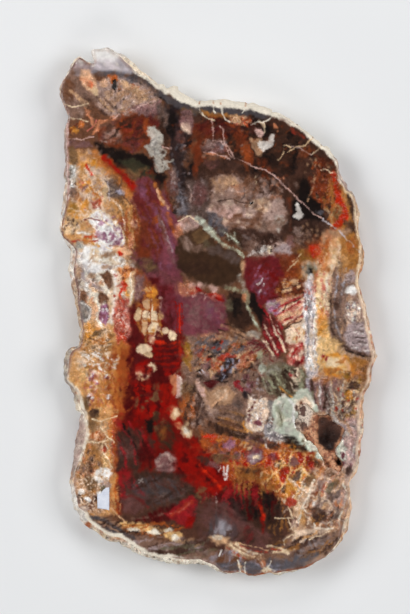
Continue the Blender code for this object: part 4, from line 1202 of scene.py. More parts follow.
# cream blocks, close packed
for colour, x, y, wide, high, lean in (("gold", -67, 19, 6, 4.6, 0), ("amber", -70, 22, 3.4, 2.4, 0),
        ("tan", -71, 8, 4, 5.4, 0), ("honey", -63, 7, 4, 5.6, 0), ("cream", -55, 5, 4.2, 3.4, 25),
        ("sand", -79.5, -3, 3.4, 6.4, 0), ("cream", -73, -4, 3.4, 5.6, 0),
        ("cream", -64, -4.5, 5.4, 5.4, 0), ("paleGold", -57, -3, 2.8, 5, 0),
        ("tan", -73.5, -15, 3.4, 7.4, 0), ("cream", -63.5, -16, 5.6, 5.4, 8),
        ("cream", -65, -26, 5, 5.2, 0), ("cream", -46, -23.5, 3.6, 5, -25),
        ("cream", -53, -19, 3.2, 3.6, 20), ("paleGold", -58, -22, 2.6, 3, 0),
        ("cream", -74, -37, 6.4, 5.4, 0), ("sand", -70, -43, 4.4, 3, 0), ("cream", -75, -61, 8, 6.6, -20),
        ("cream", -68, -57, 6, 5, -20), ("tan", -78, -66, 4, 3, 0), ("shell", -56, 12, 4, 2.6, 30)):
    for scale, tone, cover in ((1.2, "russet", 0.6), (1.08, colour, 0.97)):
        blob(x, y, wide * scale, high * scale, tone, cover, lean, 0.16, 0.15, 0.4, 0.12, 0.4)
for x, y, high in ((-67.5, 2, 12), (-76.5, -9, 12), (-60, -3, 7), (-70, -22, 8)):
    blob(x, y, 0.7, high, "rust", 0.85, 0, 0.4, 0.4, wander=0.6)
for x, y, wide in ((-70, 2, 9), (-68, -9.5, 10), (-66, -21, 8), (-62, 12.5, 6), (-72, -58, 6)):
    blob(x, y, wide, 0.7, "honey", 0.85, 4, 0.4, 0.5, wander=0.6)
flecks(-67, -10, 10, 26, 8, 0.9, "gold", 117, 0.9)
for path in ((-71, 24, -67, 20, -68, 14), (-72, 18, -66, 19, -62, 17)):
    line("burntOrange", 1.0, 0.8, *path)

print("painting the centre")
# the pink and red ledge over the plum field
blob(-33, 23, 10, 8, "salmon", 0.7, mottle=0.8)
line("pink", 5, 0.65, -26, 27, -14, 26, -2, 22, soft=2.2)
line("brick", 4, 0.8, -26, 19, -16, 22, -6, 18, 4, 13, soft=1.4)
blob(-4, 14, 6, 4.5, "rose", 0.65)
line("blood", 2.6, 0.8, -22, 24, -14, 20, -6, 16, 6, 11)
flecks(-16, 20, 16, 7, 16, 1.2, "pink", 122, 0.6, 2.2, 60)
patch("plum", 0.85, -60, 24, -44, 22, -30, 12, -4, 10, 10, -4, 4, -20, -24, -24, -44, -20, -56, -8, soft=3,
    mottle=0.3)
patch("burgundy", 0.6, -62, 30, -46, 26, -40, 10, -42, -16, -52, -14, -54, 8, soft=3)
streaks(-52, 8, 8, 22, "wine", -8, 120, 3, 6, 0.35, 0.7)
clouds(-16, -6, 22, 14, "mauve", 123, 9, 0.42, 0.55)
blob(-6, -2, 12, 6, "grape", 0.5, 60)
clouds(-14, 0, 24, 16, "mauve", 124, 6, 0.4, 0.5)
for x in (-42, -39, -36.5):
    line("blood", 1.4, 0.7, x, 10, x + 1, -6, x + 0.5, -20)
# dark olive knot and its pale strip
patch("umber", 0.95, 12, 20, 24, 20, 30, 6, 36, -10, 24, -20, 12, -14, 8, 0, soft=2.5, mottle=0.5)
blob(18, 4, 5, 9, "ink", 0.6)
blob(11, 6, 3.5, 7, "moss", 0.55)
patch("ink", 0.97, 31, 21, 36, 19, 40, 10, 46, 4, 51, -6, 50, -20, 42, -14, 36, -2, 32, 8, soft=1.4,
    mottle=0.2)
line("sage", 2.8, 0.85, 28, 10, 33, -2, 37, -12, 41, -18, soft=1.0)
line("celadon", 1.2, 0.6, 29, 6, 34, -6, 39, -15)
line("sage", 2.6, 0.5, 27, 24, 29, 18, 31, 10)
line("sage", 4, 0.75, 8, 24, 17, 23, 25, 20, soft=1.6)
line("stoneGrey", 5, 0.7, 22, 36, 25, 30, 26, 24, soft=1.6)
blob(27, 15, 2.6, 6, "salmon", 0.55)
# tan streaks that fan out below it
for path in ((4, -14, 14, -18, 28, -24), (2, -20, 16, -22, 30, -30), (14, -14, 26, -20, 40, -26),
        (-4, -24, 10, -25, 24, -32)):
    line("fawn", 2.6, 0.8, *path, soft=1.0)
for path in ((6, -12, 18, -15, 30, -22), (0, -18, 14, -20, 26, -26), (20, -24, 32, -28, 44, -32)):
    line("umber", 1.6, 0.8, *path, soft=0.8)
blob(34, -22, 7, 4, "stoneGrey", 0.6)
blob(-10, -26, 9, 3.4, "salmon", 0.7, 0)
# the many-coloured field
clouds(4, -44, 40, 20, "fawn", 127, 7, 0.35, 0.7)
clouds(4, -46, 40, 20, "cocoa", 128, 6, 0.38, 0.85)
clouds(2, -44, 40, 20, "mauve", 129, 7, 0.35, 0.7)
streaks(6, -42, 36, 18, "burntOrange", 55, 130, 2.4, 5, 0.4, 0.7)
streaks(2, -34, 30, 10, "steel", 65, 131, 2.4, 5, 0.42, 0.8)
streaks(10, -50, 34, 12, "tan", 50, 132, 2.2, 6, 0.22, 0.6)
patch("steel", 0.75, -12, -30, 2, -31, 8, -36, 0, -40, -10, -38, soft=1.5)
patch("navy", 0.8, 3, -50, 12, -44, 22, -46, 26, -56, 18, -62, 8, -60, soft=1.6)
for x, y, lean in ((9, -52, 20), (14, -49, -20), (18, -54, 30), (22, -50, -10), (13, -58, 40),
        (3, -56, 10)):
    blob(x, y, 1.6, 4, "blueGrey", 0.8, lean)
blob(-31, -42, 5, 12, "oliveGold", 0.85)
line("ochre", 2.4, 0.8, -33, -34, -30, -46, -27, -58)
patch("brick", 0.9, 0, -46, 6, -42, 12, -38, 12, -42, 6, -48, soft=1.0)
blob(-6, -46, 6, 5, "fawn", 0.8, 60)
line("ink", 1.6, 0.7, -14, -38, -4, -42, 2, -40)
blob(27, -48, 11, 5.5, "salmon", 0.85, -55)
line("tan", 1.6, 0.7, 18, -42, 28, -44, 36, -52)
line("russet", 1.8, 0.7, 20, -54, 30, -56, 38, -58)
blob(42, -44, 4.5, 6.5, "sage", 0.9)
blob(44, -57, 3, 5, "celadon", 0.85)
blob(-12, -52, 6, 5, "mauve", 0.7)
blob(-22, -48, 6, 6, "taupe", 0.7)
flecks(0, -44, 36, 16, 24, 1.4, "brick", 133, 0.8, 1.8, 30)
flecks(4, -46, 36, 18, 30, 1.3, "ink", 134, 0.7, 2.0, 40)
flecks(2, -48, 34, 16, 12, 1.2, "tan", 135, 0.7, 2.2, 40)
# crimson shards that run down to the right
patch("maroon", 0.9, 44, -3, 54, -2, 62, -14, 70, -34, 60, -46, 50, -34, 44, -22, soft=2.2, mottle=0.7)
streaks(40, -38, 12, 10, "burgundy", 60, 136, 2.2, 5, 0.5, 0.85)
for path in ((42, 8, 50, -2, 56, -14, 62, -26, 66, -38), (50, -6, 54, -20, 62, -36),
        (46, -20, 52, -32, 60, -42), (54, 4, 60, -8, 64, -16)):
    line("crimson", 2.6, 0.95, *path, soft=0.8)
for path in ((53, -8, 58, -22, 66, -34, 67, -40), (47, -12, 52, -26, 60, -40), (44, -26, 50, -36, 56, -44),
        (58, -14, 62, -22)):
    line("shell", 1.5, 0.85, *path)

print("painting the middle right")
# shards and rays between the burgundy and the pale column
patch("russet", 0.85, 60, 34, 84, 32, 92, 24, 84, 14, 66, 12, 58, 20, soft=2, mottle=0.7)
clouds(76, 24, 16, 8, "tan", 137, 5, 0.4, 0.8)
clouds(70, 22, 12, 6, "honey", 138, 5, 0.3, 0.8)
for path in ((62, 22, 72, 24, 84, 30), (66, 16, 76, 20, 90, 28), (74, 14, 82, 18, 88, 22)):
    line("umber", 1.3, 0.8, *path)
patch("peach", 0.9, 52, 6, 60, 14, 76, 16, 90, 18, 90, 4, 86, -8, 74, -14, 62, -10, soft=2, mottle=0.7)
clouds(72, 2, 18, 12, "rose", 139, 5, 0.3, 0.8)
patch("lilac", 0.8, 48, 8, 56, 12, 64, 6, 60, -2, 50, 0, soft=1.6, mottle=0.8)
flecks(56, 6, 8, 7, 14, 1.4, "violet", 145, 0.8, 2.0, 60)
for path in ((56, 2, 66, 8, 78, 14, 86, 18), (58, -4, 68, 2, 80, 10, 87, 12),
        (60, -12, 70, -8, 78, -5, 84, -4)):
    line("crimson", 2.4, 0.95, *path, soft=0.8)
for path in ((60, 1, 70, 6, 84, 14), (64, -6, 72, -1, 84, 7), (66, -12, 76, -7, 84, -2)):
    line("shell", 1.5, 0.85, *path)
for path in ((52, 12, 64, 16, 74, 20), (70, -12, 78, -8, 86, 0)):
    line("wine", 1.6, 0.85, *path)
patch("shell", 0.95, 67, -18, 83, -9, 88, 5, 88, -35, 78, -34, 68, -30, soft=1.2, mottle=0.6)
blob(80, -24, 7, 6, "cream", 0.7)
flecks(79, -22, 8, 12, 16, 1.0, "amber", 141, 0.7)
flecks(78, -22, 8, 12, 10, 0.9, "brick", 142, 0.7)
# white and lilac column, broken into cells
patch("paleLilac", 0.9, 86, 32, 95, 32, 98, 12, 96, -8, 100, -30, 96, -50, 102, -68, 88, -68, 86, -50,
    88, -20, 86, 0, soft=1.4, mottle=0.8)
clouds(92, -16, 8, 52, "white", 146, 6, 0.4, 0.9)
streaks(95, -40, 8, 26, "shell", -4, 143, 2, 6, 0.4, 0.8)
streaks(92, -44, 9, 24, "ash", 4, 144, 2, 6, 0.38, 0.8)
for x, y, high in ((90, 18, 4), (92, 6, 5), (89, -6, 4.5), (91, -17, 5), (90, -29, 4), (95, -3, 3),
        (94, 24, 3)):
    blob(x, y, 1.5, high, "ash", 0.85, rag=0.3, wander=0.5)
for x, y, high in ((87.5, 10, 5), (94.5, -12, 5), (93.5, 12, 4), (88, -22, 5), (97, -30, 4), (86, -40, 4)):
    blob(x, y, 0.7, high, "mauve", 0.8, rag=0.4, wander=0.6)
flecks(92, 14, 6, 18, 16, 1.0, "rose", 148, 0.8)
# cream, amber and salmon beside it
streaks(104, 6, 9, 44, "cream", -4, 147, 2.2, 6, 0.5, 0.8)
patch("gold", 0.7, 98, 6, 106, 4, 110, -14, 108, -28, 100, -24, soft=2, mottle=0.6)
streaks(103, 20, 9, 28, "rose", -6, 149, 1.7, 7, 0.3, 0.7)
line("boneWhite", 2.2, 0.7, 114, 48, 110, 34, 108, 18)
cells(106, 12, 8, 12, 4, "cream", 150, 0.14, 0.7)
# grey-brown outer band with swirls
patch("taupe", 0.85, 116, 40, 126, 34, 130, 6, 130, -30, 118, -36, 110, -12, 113, 14, soft=2.2, mottle=0.7)
streaks(122, 4, 10, 38, "fawn", 4, 155, 2.2, 6, 0.45, 0.8)
streaks(122, 0, 10, 38, "greyBrown", 4, 156, 2.4, 6, 0.35, 0.8)
for path in ((118, 44, 116, 26, 113, 8, 112, -8, 118, -24), (124, 44, 122, 24, 119, 6, 120, -16),
        (128, 30, 126, 14, 124, -4, 126, -20, 132, -32)):
    line("taupe", 2.4, 0.8, *path, soft=1.0)
for path in ((121, 40, 118, 20, 116, 0, 118, -14, 124, -28), (128, 44, 126, 30, 124, 18)):
    line("ash", 1.5, 0.75, *path)
line("umber", 1.8, 0.75, 114, 18, 112, 2, 113, -14, 120, -30)
blob(118, 8, 3, 7, "cocoa", 0.7)
blob(122, -30, 5, 5, "cocoa", 0.8)
blob(127, 40, 6, 8, "ochre", 0.6)
blob(132, 35, 6, 6, "lilac", 0.8, mottle=0.8)
blob(132, 22, 6, 4.6, "white", 0.95, mottle=0.5, rag=0.15)
# the ringed eye
blob(135, 0, 9, 12, "shell", 0.9, mottle=0.8)
for x, y, wide in ((130, 6, 2.4), (136, 7, 2.6), (131, -3, 2.6), (137, -1, 2.2), (135, -8, 2.6),
        (141, 4, 2)):
    blob(x, y, wide, wide * 1.3, "ash", 0.7, rag=0.3, wander=0.4)
    blob(x, y, wide * 0.5, wide * 0.7, "boneWhite", 0.9, rag=0.2, wander=0.4)
cells(135, 0, 9, 12, 4.4, "mauve", 151, 0.1, 0.7)
line("taupe", 1.2, 0.8, 127, 4, 130, 11, 137, 12, 143, 6, 143, -6, 137, -12, 130, -9, 127, 0)
# the striped grey lobe
patch("lilac", 0.9, 130, -12, 146, -10, 152, -30, 150, -42, 134, -38, 126, -24, soft=2, mottle=0.8)
for x, y, wide in ((142, -15, 4), (138, -19, 5), (143, -20, 4), (144, -31, 5), (136, -34, 4),
        (145, -37, 4)):
    blob(x, y, wide, 0.7, "greyBrown", 0.55, -6, rag=0.6, wander=1.4)
    blob(x + 1, y - 2, wide, 0.8, "chalk", 0.45, -6, rag=0.6, wander=1.4)
line("cocoa", 4.6, 0.9, 124, -32, 132, -39, 144, -43, 154, -45, soft=1.4)
line("ink", 1.4, 0.7, 128, -38, 140, -43, 152, -46)
# yellow and amber lobe
blob(112, -34, 12, 9, "paleGold", 0.75, mottle=0.7)
blob(142, -58, 9, 12, "ochre", 0.85)
blob(148, -62, 5, 8, "brown", 0.6)
patch("gold", 0.9, 104, -44, 114, -40, 130, -44, 138, -56, 130, -68, 108, -64, soft=2, mottle=0.3)
patch("paleGold", 0.85, 107, -45, 120, -43, 132, -50, 131, -60, 120, -62, 109, -56, soft=3, mottle=0.3)
blob(116, -51, 8, 5, "cream", 0.8)
line("peach", 4, 0.85, 126, -46, 131, -54, 130, -62, soft=1)
blob(105, -44, 2.2, 2.6, "crimson", 0.95)
blob(109, -47, 1.6, 2.2, "crimson", 0.95)
streaks(122, -58, 18, 12, "honey", 70, 152, 2.4, 5, 0.3, 0.7)
# rose and crimson knot left of the column
patch("rose", 0.85, 70, -32, 84, -30, 86, -50, 80, -62, 70, -54, soft=1.6, mottle=0.9)
for path in ((84, -32, 78, -38, 74, -46), (82, -40, 76, -50, 73, -58), (86, -46, 80, -54)):
    line("crimson", 2.4, 0.9, *path)
flecks(78, -46, 8, 15, 20, 1.2, "shell", 154, 0.85, 1.8, 20)
blob(80, -53, 3, 3, "wine", 0.8)

print("painting the lower left")
# amber wood with white and pink nets
clouds(-126, -76, 20, 28, "paleGold", 161, 7, 0.45, 0.7)
clouds(-124, -84, 18, 24, "honey", 162, 6, 0.3, 0.7)
clouds(-122, -50, 18, 16, "shell", 163, 6, 0.45, 0.8)
streaks(-118, -50, 18, 12, "white", -70, 164, 1.8, 6, 0.35, 0.8)
streaks(-118, -50, 20, 16, "ochre", -60, 165, 2, 6, 0.35, 0.7)
line("pink", 4, 0.8, -127, -60, -123, -70, -126, -80, -131, -90, soft=1.6)
for x, y in ((-125, -63), (-128, -66), (-122, -71), (-127, -74), (-124, -79), (-131, -85), (-127, -88),
        (-130, -92), (-112, -66), (-112, -77)):
    blob(x, y, 1.3, 2.2, "violet", 0.85, 30)
    blob(x + 2, y - 1, 1.0, 1.8, "plum", 0.8, 30)
    blob(x + 1, y + 2, 0.9, 2.0, "white", 0.85, 50)
cells(-118, -74, 20, 26, 6, "rose", 166, 0.1, 0.5)
streaks(-114, -78, 16, 24, "honey", -20, 167, 2.4, 5, 0.4, 0.75)
blob(-108, -86, 3, 2, "white", 0.85)
blob(-134, -93, 6, 8, "olive", 0.8)
blob(-126, -108, 8, 10, "olive", 0.85)
blob(-124, -101, 4, 4, "cocoa", 0.6)
blob(-110, -116, 7, 8, "tan", 0.6)
blob(-122, -124, 8, 5, "burntOrange", 0.9)
flecks(-122, -124, 7, 4, 6, 1.3, "peach", 168, 0.9)
blob(-114, -137, 2.2, 3.6, "brick", 0.9, -20)
blob(-111, -146, 6, 9, "paleGold", 0.7)
patch("ochre", 0.75, -144, -132, -122, -132, -116, -150, -122, -166, -144, -166, soft=2.5, mottle=0.8)
flecks(-132, -148, 10, 15, 16, 2.0, "salmon", 169, 0.8)
flecks(-132, -148, 10, 15, 16, 1.8, "cocoa", 170, 0.8)
for x, y, size in ((-133, -156, 5), (-127, -146, 4), (-137, -142, 3.4), (-120, -152, 3.4)):
    blob(x, y, size, size, "fawn", 0.8, rag=0.2)
    blob(x, y, size * 0.6, size * 0.6, "umber", 0.6, rag=0.3)
    blob(x, y, size * 0.3, size * 0.3, "pink", 0.8, rag=0.3)
patch("white", 0.95, -124, -158, -116, -154, -107, -156, -106, -163, -112, -169, -117, -174, -124, -168,
    soft=1.2, mottle=0.5)
flecks(-116, -163, 7, 6, 8, 1.0, "tan", 171, 0.7)
blob(-104, -165, 4, 5, "orange", 0.7)
# the amber runs out into the red
streaks(-100, -74, 9, 44, "rust", 2, 172, 2.4, 5, 0.5, 0.8)
line("rust", 8, 0.85, -91, -40, -90, -70, -94, -98, soft=5)
line("burntOrange", 4, 0.6, -98, -50, -98, -76, -101, -104, soft=2.5)
line("crimson", 6, 0.85, -99, -104, -101, -122, -103, -140, -98, -158, soft=2)
line("brick", 3, 0.8, -103, -108, -105, -130, -103, -152, soft=1.6)
streaks(-106, -130, 7, 26, "orange", 0, 173, 1.8, 8, 0.4, 0.6)
# heart of the red
clouds(-66, -80, 28, 46, "blood", 174, 14, 0.5, 0.9, 0.12)
clouds(-64, -84, 26, 40, "vermilion", 175, 12, 0.3, 0.85, 0.1)
clouds(-72, -58, 20, 34, "wine", 176, 9, 0.35, 0.75)
streaks(-66, -64, 26, 44, "oxblood", 0, 177, 3.2, 6, 0.35, 0.8)
clouds(-66, -98, 20, 24, "olive", 178, 7, 0.2, 0.7)
blob(-48, -84, 8, 12, "vermilion", 0.6)
blob(-88, -98, 6, 14, "oxblood", 0.7)
blob(-60, -66, 10, 6, "oxblood", 0.7)
for y in (-36, -42, -47, -52):
    line("vermilion", 2, 0.7, -62, y, -50, y - 1, -40, y + 1, soft=1.2)
    line("wine", 1.6, 0.7, -62, y - 3, -50, y - 4, -40, y - 2, soft=1.0)
line("scarlet", 3, 0.8, -62, -31, -50, -32, -40, -31, soft=1.4)
line("scarlet", 2.4, 0.7, -38, -30, -38, -44, -40, -56, soft=1.6)
blob(-70, -114, 4.5, 10, "ink", 0.97, 8, mottle=0.1)
blob(-68, -130, 4, 8, "cocoa", 0.7, -10)
blob(-62, -104, 4, 5, "darkOlive", 0.9)
line("rust", 7, 0.5, -101, -112, -102, -136, -102, -160, soft=4)
# dark swirls of the lower heart
patch("cocoa", 0.9, -102, -120, -88, -114, -76, -120, -72, -140, -80, -158, -102, -158, soft=3, mottle=0.5)
blob(-92, -138, 9, 11, "mauveBrown", 0.55, mottle=0.7)
for path in ((-98, -112, -90, -122, -84, -136, -82, -152), (-88, -110, -80, -124, -74, -140),
        (-78, -118, -70, -134, -62, -146), (-100, -126, -94, -142, -92, -158)):
    line("crimson", 2.6, 0.75, *path, soft=1.4)
for path in ((-94, -112, -86, -126, -80, -142), (-76, -128, -70, -142, -66, -156)):
    line("ink", 2.2, 0.7, *path, soft=1.2)
blob(-72, -142, 7, 12, "oxblood", 0.7, -20)
patch("darkOlive", 0.75, -62, -112, -48, -110, -42, -124, -46, -138, -58, -136, soft=3.5, mottle=0.35)
blob(-54, -122, 5, 8, "bronze", 0.4)
line("vermilion", 6, 0.85, -46, -100, -38, -114, -28, -128, -16, -142, soft=2.5)
patch("mauve", 0.95, -63, -148, -57, -142, -50, -140, -43, -143, -41, -150, -38, -157, -50, -161, -61, -159,
    soft=1.4, mottle=0.6)
for path in ((-61, -150, -57, -144, -50, -142, -44, -146), (-58, -154, -53, -150, -48, -152),
        (-48, -146, -44, -152, -46, -157)):
    line("pinkGrey", 2.2, 0.6, *path, soft=1.2)

print("painting the lower centre")
# pale blocks along the red's right edge
patch("salmon", 0.9, -49, -63, -43, -62, -40, -68, -40, -80, -43, -84, -46, -82, -45, -74, -49, -68,
    soft=1.2)
patch("pink", 0.95, -42, -62, -37, -66, -34, -74, -35, -83, -41, -86, -41, -70, soft=0.9)
line("boneWhite", 1.6, 0.7, -38, -66, -36, -74, -37, -82)
blob(-42, -101, 5.4, 6.6, "tan", 0.95)
blob(-41, -100, 3.2, 4, "cream", 0.8)
blob(-32, -119, 4.8, 7.2, "sand", 0.95, -14)
blob(-31, -120, 2.8, 4.6, "boneWhite", 0.75, -14)
blob(-39, -113, 4, 3.4, "salmon", 0.7)
blob(-29, -96, 9, 13, "burntOrange", 0.7)
clouds(-26, -98, 14, 18, "pinkGrey", 189, 6, 0.4, 0.7)
blob(-30, -80, 6, 10, "olive", 0.65)
streaks(-22, -92, 16, 24, "cocoa", 10, 188, 2.4, 6, 0.35, 0.7)
# tan and pink patch beside the dark gash
patch("fawn", 0.95, -24, -70, -20, -68, -16, -76, -6, -79, 0, -74, 10, -72, 18, -82, 12, -94, 0, -93,
    -2, -103, -10, -98, -16, -84, soft=1.4, mottle=0.5)
line("pink", 4.6, 0.8, -22, -69, -19, -76, -13, -85, -9, -94, soft=1.2)
blob(4, -82, 8, 5, "shell", 0.6)
line("peach", 2.4, 0.7, -4, -92, 4, -86, 12, -78)
line("umber", 1.6, 0.8, -4, -96, 0, -90, -4, -104)
patch("wine", 0.95, -16, -72, -8, -76, -1, -72, 4, -69, -6, -69, soft=1.0)
line("ink", 1.6, 0.8, -20, -64, -12, -70, 0, -68, 10, -70)
blob(-5, -101, 4.5, 8, "pinkGrey", 0.7)
patch("crimson", 0.95, 15, -71, 20, -69, 26, -77, 24, -80, 18, -76, soft=0.9)
blob(28, -82, 4.5, 3.5, "navy", 0.9)
blob(5, -63, 6, 5, "navy", 0.8)
line("blueGrey", 1.2, 0.7, 2, -60, 6, -64, 4, -68)
clouds(38, -70, 16, 10, "ash", 181, 5, 0.4, 0.8)
clouds(36, -70, 18, 10, "plum", 180, 6, 0.3, 0.6)
flecks(38, -70, 14, 9, 16, 1.3, "cocoa", 182, 0.8)
# brown streaked field
clouds(14, -102, 20, 14, "taupe", 183, 7, 0.45, 0.8)
blob(20, -92, 7, 5, "greyBrown", 0.7)
patch("brown", 0.85, -14, -108, 6, -108, 30, -114, 30, -124, 4, -124, -12, -118, soft=3)
for path in (((-4, -104), (10, -108), (26, -112)), ((0, -112), (14, -117), (28, -119)),
        ((2, -98), (14, -100), (26, -104))):
    line("ochre", 2.2, 0.6, *path, soft=1.2)
    line("umber", 1.8, 0.75, *[(x + 1, y - 3) for x, y in path], soft=1.0)
line("umber", 6, 0.95, -7, -112, 4, -120, 16, -123, 30, -124, 46, -127, soft=1.2)
line("taupe", 1.3, 0.7, 10, -120, 24, -122, 40, -124)
line("gold", 2.2, 0.7, 0, -128, 18, -130, 36, -131, 46, -133, soft=1.2)
# cream patch with a violet hole
patch("shell", 0.95, 30, -82, 38, -87, 47, -86, 53, -95, 49, -107, 46, -119, 30, -119, 28, -108, 31, -95,
    soft=1.2, mottle=0.6)
cells(39, -101, 10, 17, 5, "white", 184, 0.12, 0.8)
cells(39, -100, 10, 17, 7, "pinkGrey", 185, 0.1, 0.8)
flecks(38, -106, 9, 10, 10, 1.3, "mauve", 186, 0.8)
blob(40, -111, 4.2, 2.4, "plum", 0.97, wander=0.4)
for x, y in ((31, -99), (31, -103), (34, -95), (37, -90)):
    blob(x, y, 1.2, 1.2, "wine", 0.9, wander=0.3)
line("gold", 2, 0.8, 26, -110, 28, -116, 34, -120)
patch("grey", 0.8, 50, -88, 58, -90, 60, -102, 56, -110, 51, -100, soft=1.4, mottle=0.9)
patch("ash", 0.85, 48, -112, 62, -108, 70, -114, 68, -128, 56, -134, 46, -126, soft=1.4, mottle=0.9)
cells(58, -120, 12, 14, 5, "chalk", 187, 0.14, 0.85)
flecks(56, -114, 8, 12, 16, 1.4, "slate", 190, 0.8)
patch("cocoa", 0.9, 50, -128, 58, -130, 64, -136, 56, -140, 50, -134, soft=1.2)
line("chalk", 1.4, 0.7, 46, -126, 50, -136, 60, -140, 68, -136)
# orange mottle with violet and rings
clouds(22, -140, 44, 15, "amber", 191, 7, 0.4, 0.6)
clouds(22, -142, 44, 16, "rust", 192, 6, 0.4, 0.8)
clouds(20, -139, 42, 13, "mauveBrown", 253, 7, 0.35, 0.6, 0.35)
clouds(26, -138, 30, 13, "violet", 193, 5, 0.25, 0.5)
clouds(34, -148, 30, 12, "vermilion", 194, 5, 0.25, 0.8)
flecks(24, -140, 38, 13, 20, 1.3, "sand", 195, 0.55, 2.2, 40)
flecks(16, -142, 34, 12, 24, 1.4, "cocoa", 196, 0.7, 2.2, 40)
blob(11, -133, 5, 4, "violet", 0.8)
blob(38, -145, 10, 7, "plum", 0.9)
blob(38, -145, 7.4, 5, "lilac", 0.85)
blob(38, -145, 3.2, 1.8, "cream", 0.9)
line("gold", 1.3, 0.8, 29, -150, 36, -153, 46, -150)
blob(-8, -126, 7, 5, "scarlet", 0.6)
blob(-12, -132, 5, 5, "burntOrange", 0.7)
# deep red diagonal
patch("blood", 0.85, -44, -130, -30, -136, -8, -140, 10, -160, 18, -182, 6, -190, -22, -180, -42, -164,
    soft=4, mottle=0.15)
clouds(-18, -156, 24, 22, "oxblood", 197, 7, 0.4, 0.8)
for path in ((-30, -146, -14, -160, 0, -176), (-20, -146, -6, -160, 8, -176),
        (-34, -154, -20, -166, -8, -178), (0, -160, 10, -172, 16, -184)):
    line("vermilion", 3.2, 0.7, *path, soft=1.8)
line("scarlet", 2, 0.7, -20, -152, -8, -164, 4, -178, soft=1.2)
blob(-4, -151, 7, 4, "mauve", 0.8, mottle=0.6)
blob(-14, -148, 6, 4, "cocoa", 0.8)
blob(8, -146, 12, 6, "olive", 0.7)
clouds(-4, -180, 24, 9, "olive", 198, 6, 0.4, 0.8)
patch("ochre", 0.85, 16, -152, 56, -156, 60, -176, 40, -186, 20, -180, soft=2, mottle=0.5)
patch("cocoa", 0.7, 20, -156, 42, -157, 46, -162, 24, -161, soft=1.6)
streaks(36, -168, 24, 14, "russet", 3, 200, 2.2, 8, 0.42, 0.8)
patch("bronze", 0.6, 18, -160, 40, -160, 58, -168, 62, -190, 46, -196, 28, -190, 18, -178, soft=5)
patch("darkOlive", 0.6, 30, -178, 44, -178, 58, -186, 60, -200, 44, -204, 32, -196, soft=5)
line("ochre", 1.6, 0.8, 16, -150, 18, -164, 22, -172, 34, -178, 44, -182)
line("sand", 1.4, 0.8, 44, -160, 43, -166, 45, -173, 50, -170, 50, -163, 47, -159, 44, -160)

print("painting the lower right")
# sage ground and the celadon crest
patch("moss", 0.9, 46, -54, 62, -50, 80, -54, 90, -66, 84, -86, 66, -88, 50, -76, soft=3, mottle=0.6)
blob(54, -60, 7, 6, "stoneGrey", 0.6)
blob(60, -64, 7, 8, "moss", 0.6)
patch("shell", 0.9, 70, -58, 80, -56, 84, -66, 80, -76, 74, -70, soft=1.2, mottle=0.7)
flecks(77, -63, 6, 7, 10, 1.4, "crimson", 201, 0.9)
streaks(66, -70, 20, 14, "sage", -35, 202, 2, 6, 0.4, 0.8)
streaks(68, -72, 20, 14, "umber", -35, 203, 2.2, 6, 0.35, 0.8)
line("gold", 1.6, 0.7, 62, -74, 68, -80, 74, -84)
line("shell", 1.3, 0.8, 72, -70, 76, -78, 82, -82)
# brown and grey fingers above the hollow
patch("mauve", 0.85, 88, -68, 112, -66, 116, -84, 110, -100, 96, -98, 90, -84, soft=2, mottle=0.8)
for colour, width, path in (("cocoa", 2.6, (93, -68, 95, -82, 99, -96)),
        ("cocoa", 3, (106, -72, 108, -84, 106, -96)), ("ash", 2.4, (89, -68, 91, -78, 96, -90)),
        ("chalk", 2.2, (101, -66, 101, -78, 103, -92)), ("stoneGrey", 2.4, (112, -70, 114, -84, 112, -96)),
        ("fawn", 1.6, (97, -68, 99, -82, 101, -92)), ("umber", 1.6, (110, -76, 111, -88, 109, -98)),
        ("maroon", 2.2, (119, -92, 120, -100, 117, -106))):
    line(colour, width, 0.85, *path, soft=1.0)
blob(94, -85, 3, 6, "sage", 0.6)
# mottled brown outer wood
line("honey", 7, 0.6, 100, -66, 116, -68, 132, -66, 142, -62, soft=4)
clouds(130, -84, 16, 24, "taupe", 204, 7, 0.45, 0.8)
clouds(132, -86, 14, 22, "oliveGold", 205, 6, 0.3, 0.8)
streaks(126, -90, 16, 24, "cocoa", 12, 206, 2.4, 5, 0.38, 0.85)
streaks(124, -92, 16, 24, "stoneGrey", 8, 207, 2.2, 5, 0.32, 0.8)
blob(132, -84, 4, 5, "gold", 0.8)
blob(136, -74, 5, 5, "cocoa", 0.8)
blob(118, -72, 4, 6, "mauve", 0.7)
flecks(128, -92, 12, 18, 16, 1.3, "brick", 208, 0.8)
cells(128, -86, 16, 26, 7, "sand", 209, 0.1, 0.6, 1.5)
# the pale green crest
patch("celadon", 0.97, 56, -90, 62, -85, 72, -85, 82, -79, 90, -77, 94, -82, 97, -92, 103, -99, 96, -100,
    88, -92, 80, -96, 80, -104, 76, -112, 80, -118, 84, -124, 86, -130, 80, -134, 70, -126, 58, -120,
    54, -104, soft=1.0, wander=0.8, mottle=0.3)
clouds(70, -104, 14, 22, "boneWhite", 210, 6, 0.35, 0.8)
streaks(66, -110, 12, 20, "stoneGrey", 20, 211, 2.2, 4, 0.35, 0.7)
blob(61, -106, 4, 9, "sage", 0.45)
line("white", 2.6, 0.85, 72, -88, 77, -94, 74, -104, 78, -114, soft=1.0)
line("boneWhite", 2.4, 0.85, 78, -84, 86, -80, 92, -84, 96, -94, soft=1.0)
line("moss", 1.4, 0.6, 66, -92, 62, -100, 64, -112)
# cream rock with brown pits at the head of the hollow
patch("shell", 0.9, 78, -88, 88, -84, 94, -92, 97, -102, 92, -108, 82, -104, 76, -98, soft=1.2, mottle=0.8)
blob(87, -94, 4, 4, "rose", 0.7)
blob(83, -90, 2.4, 2.4, "brown", 0.8)
blob(79, -97, 2, 4, "cocoa", 0.8)
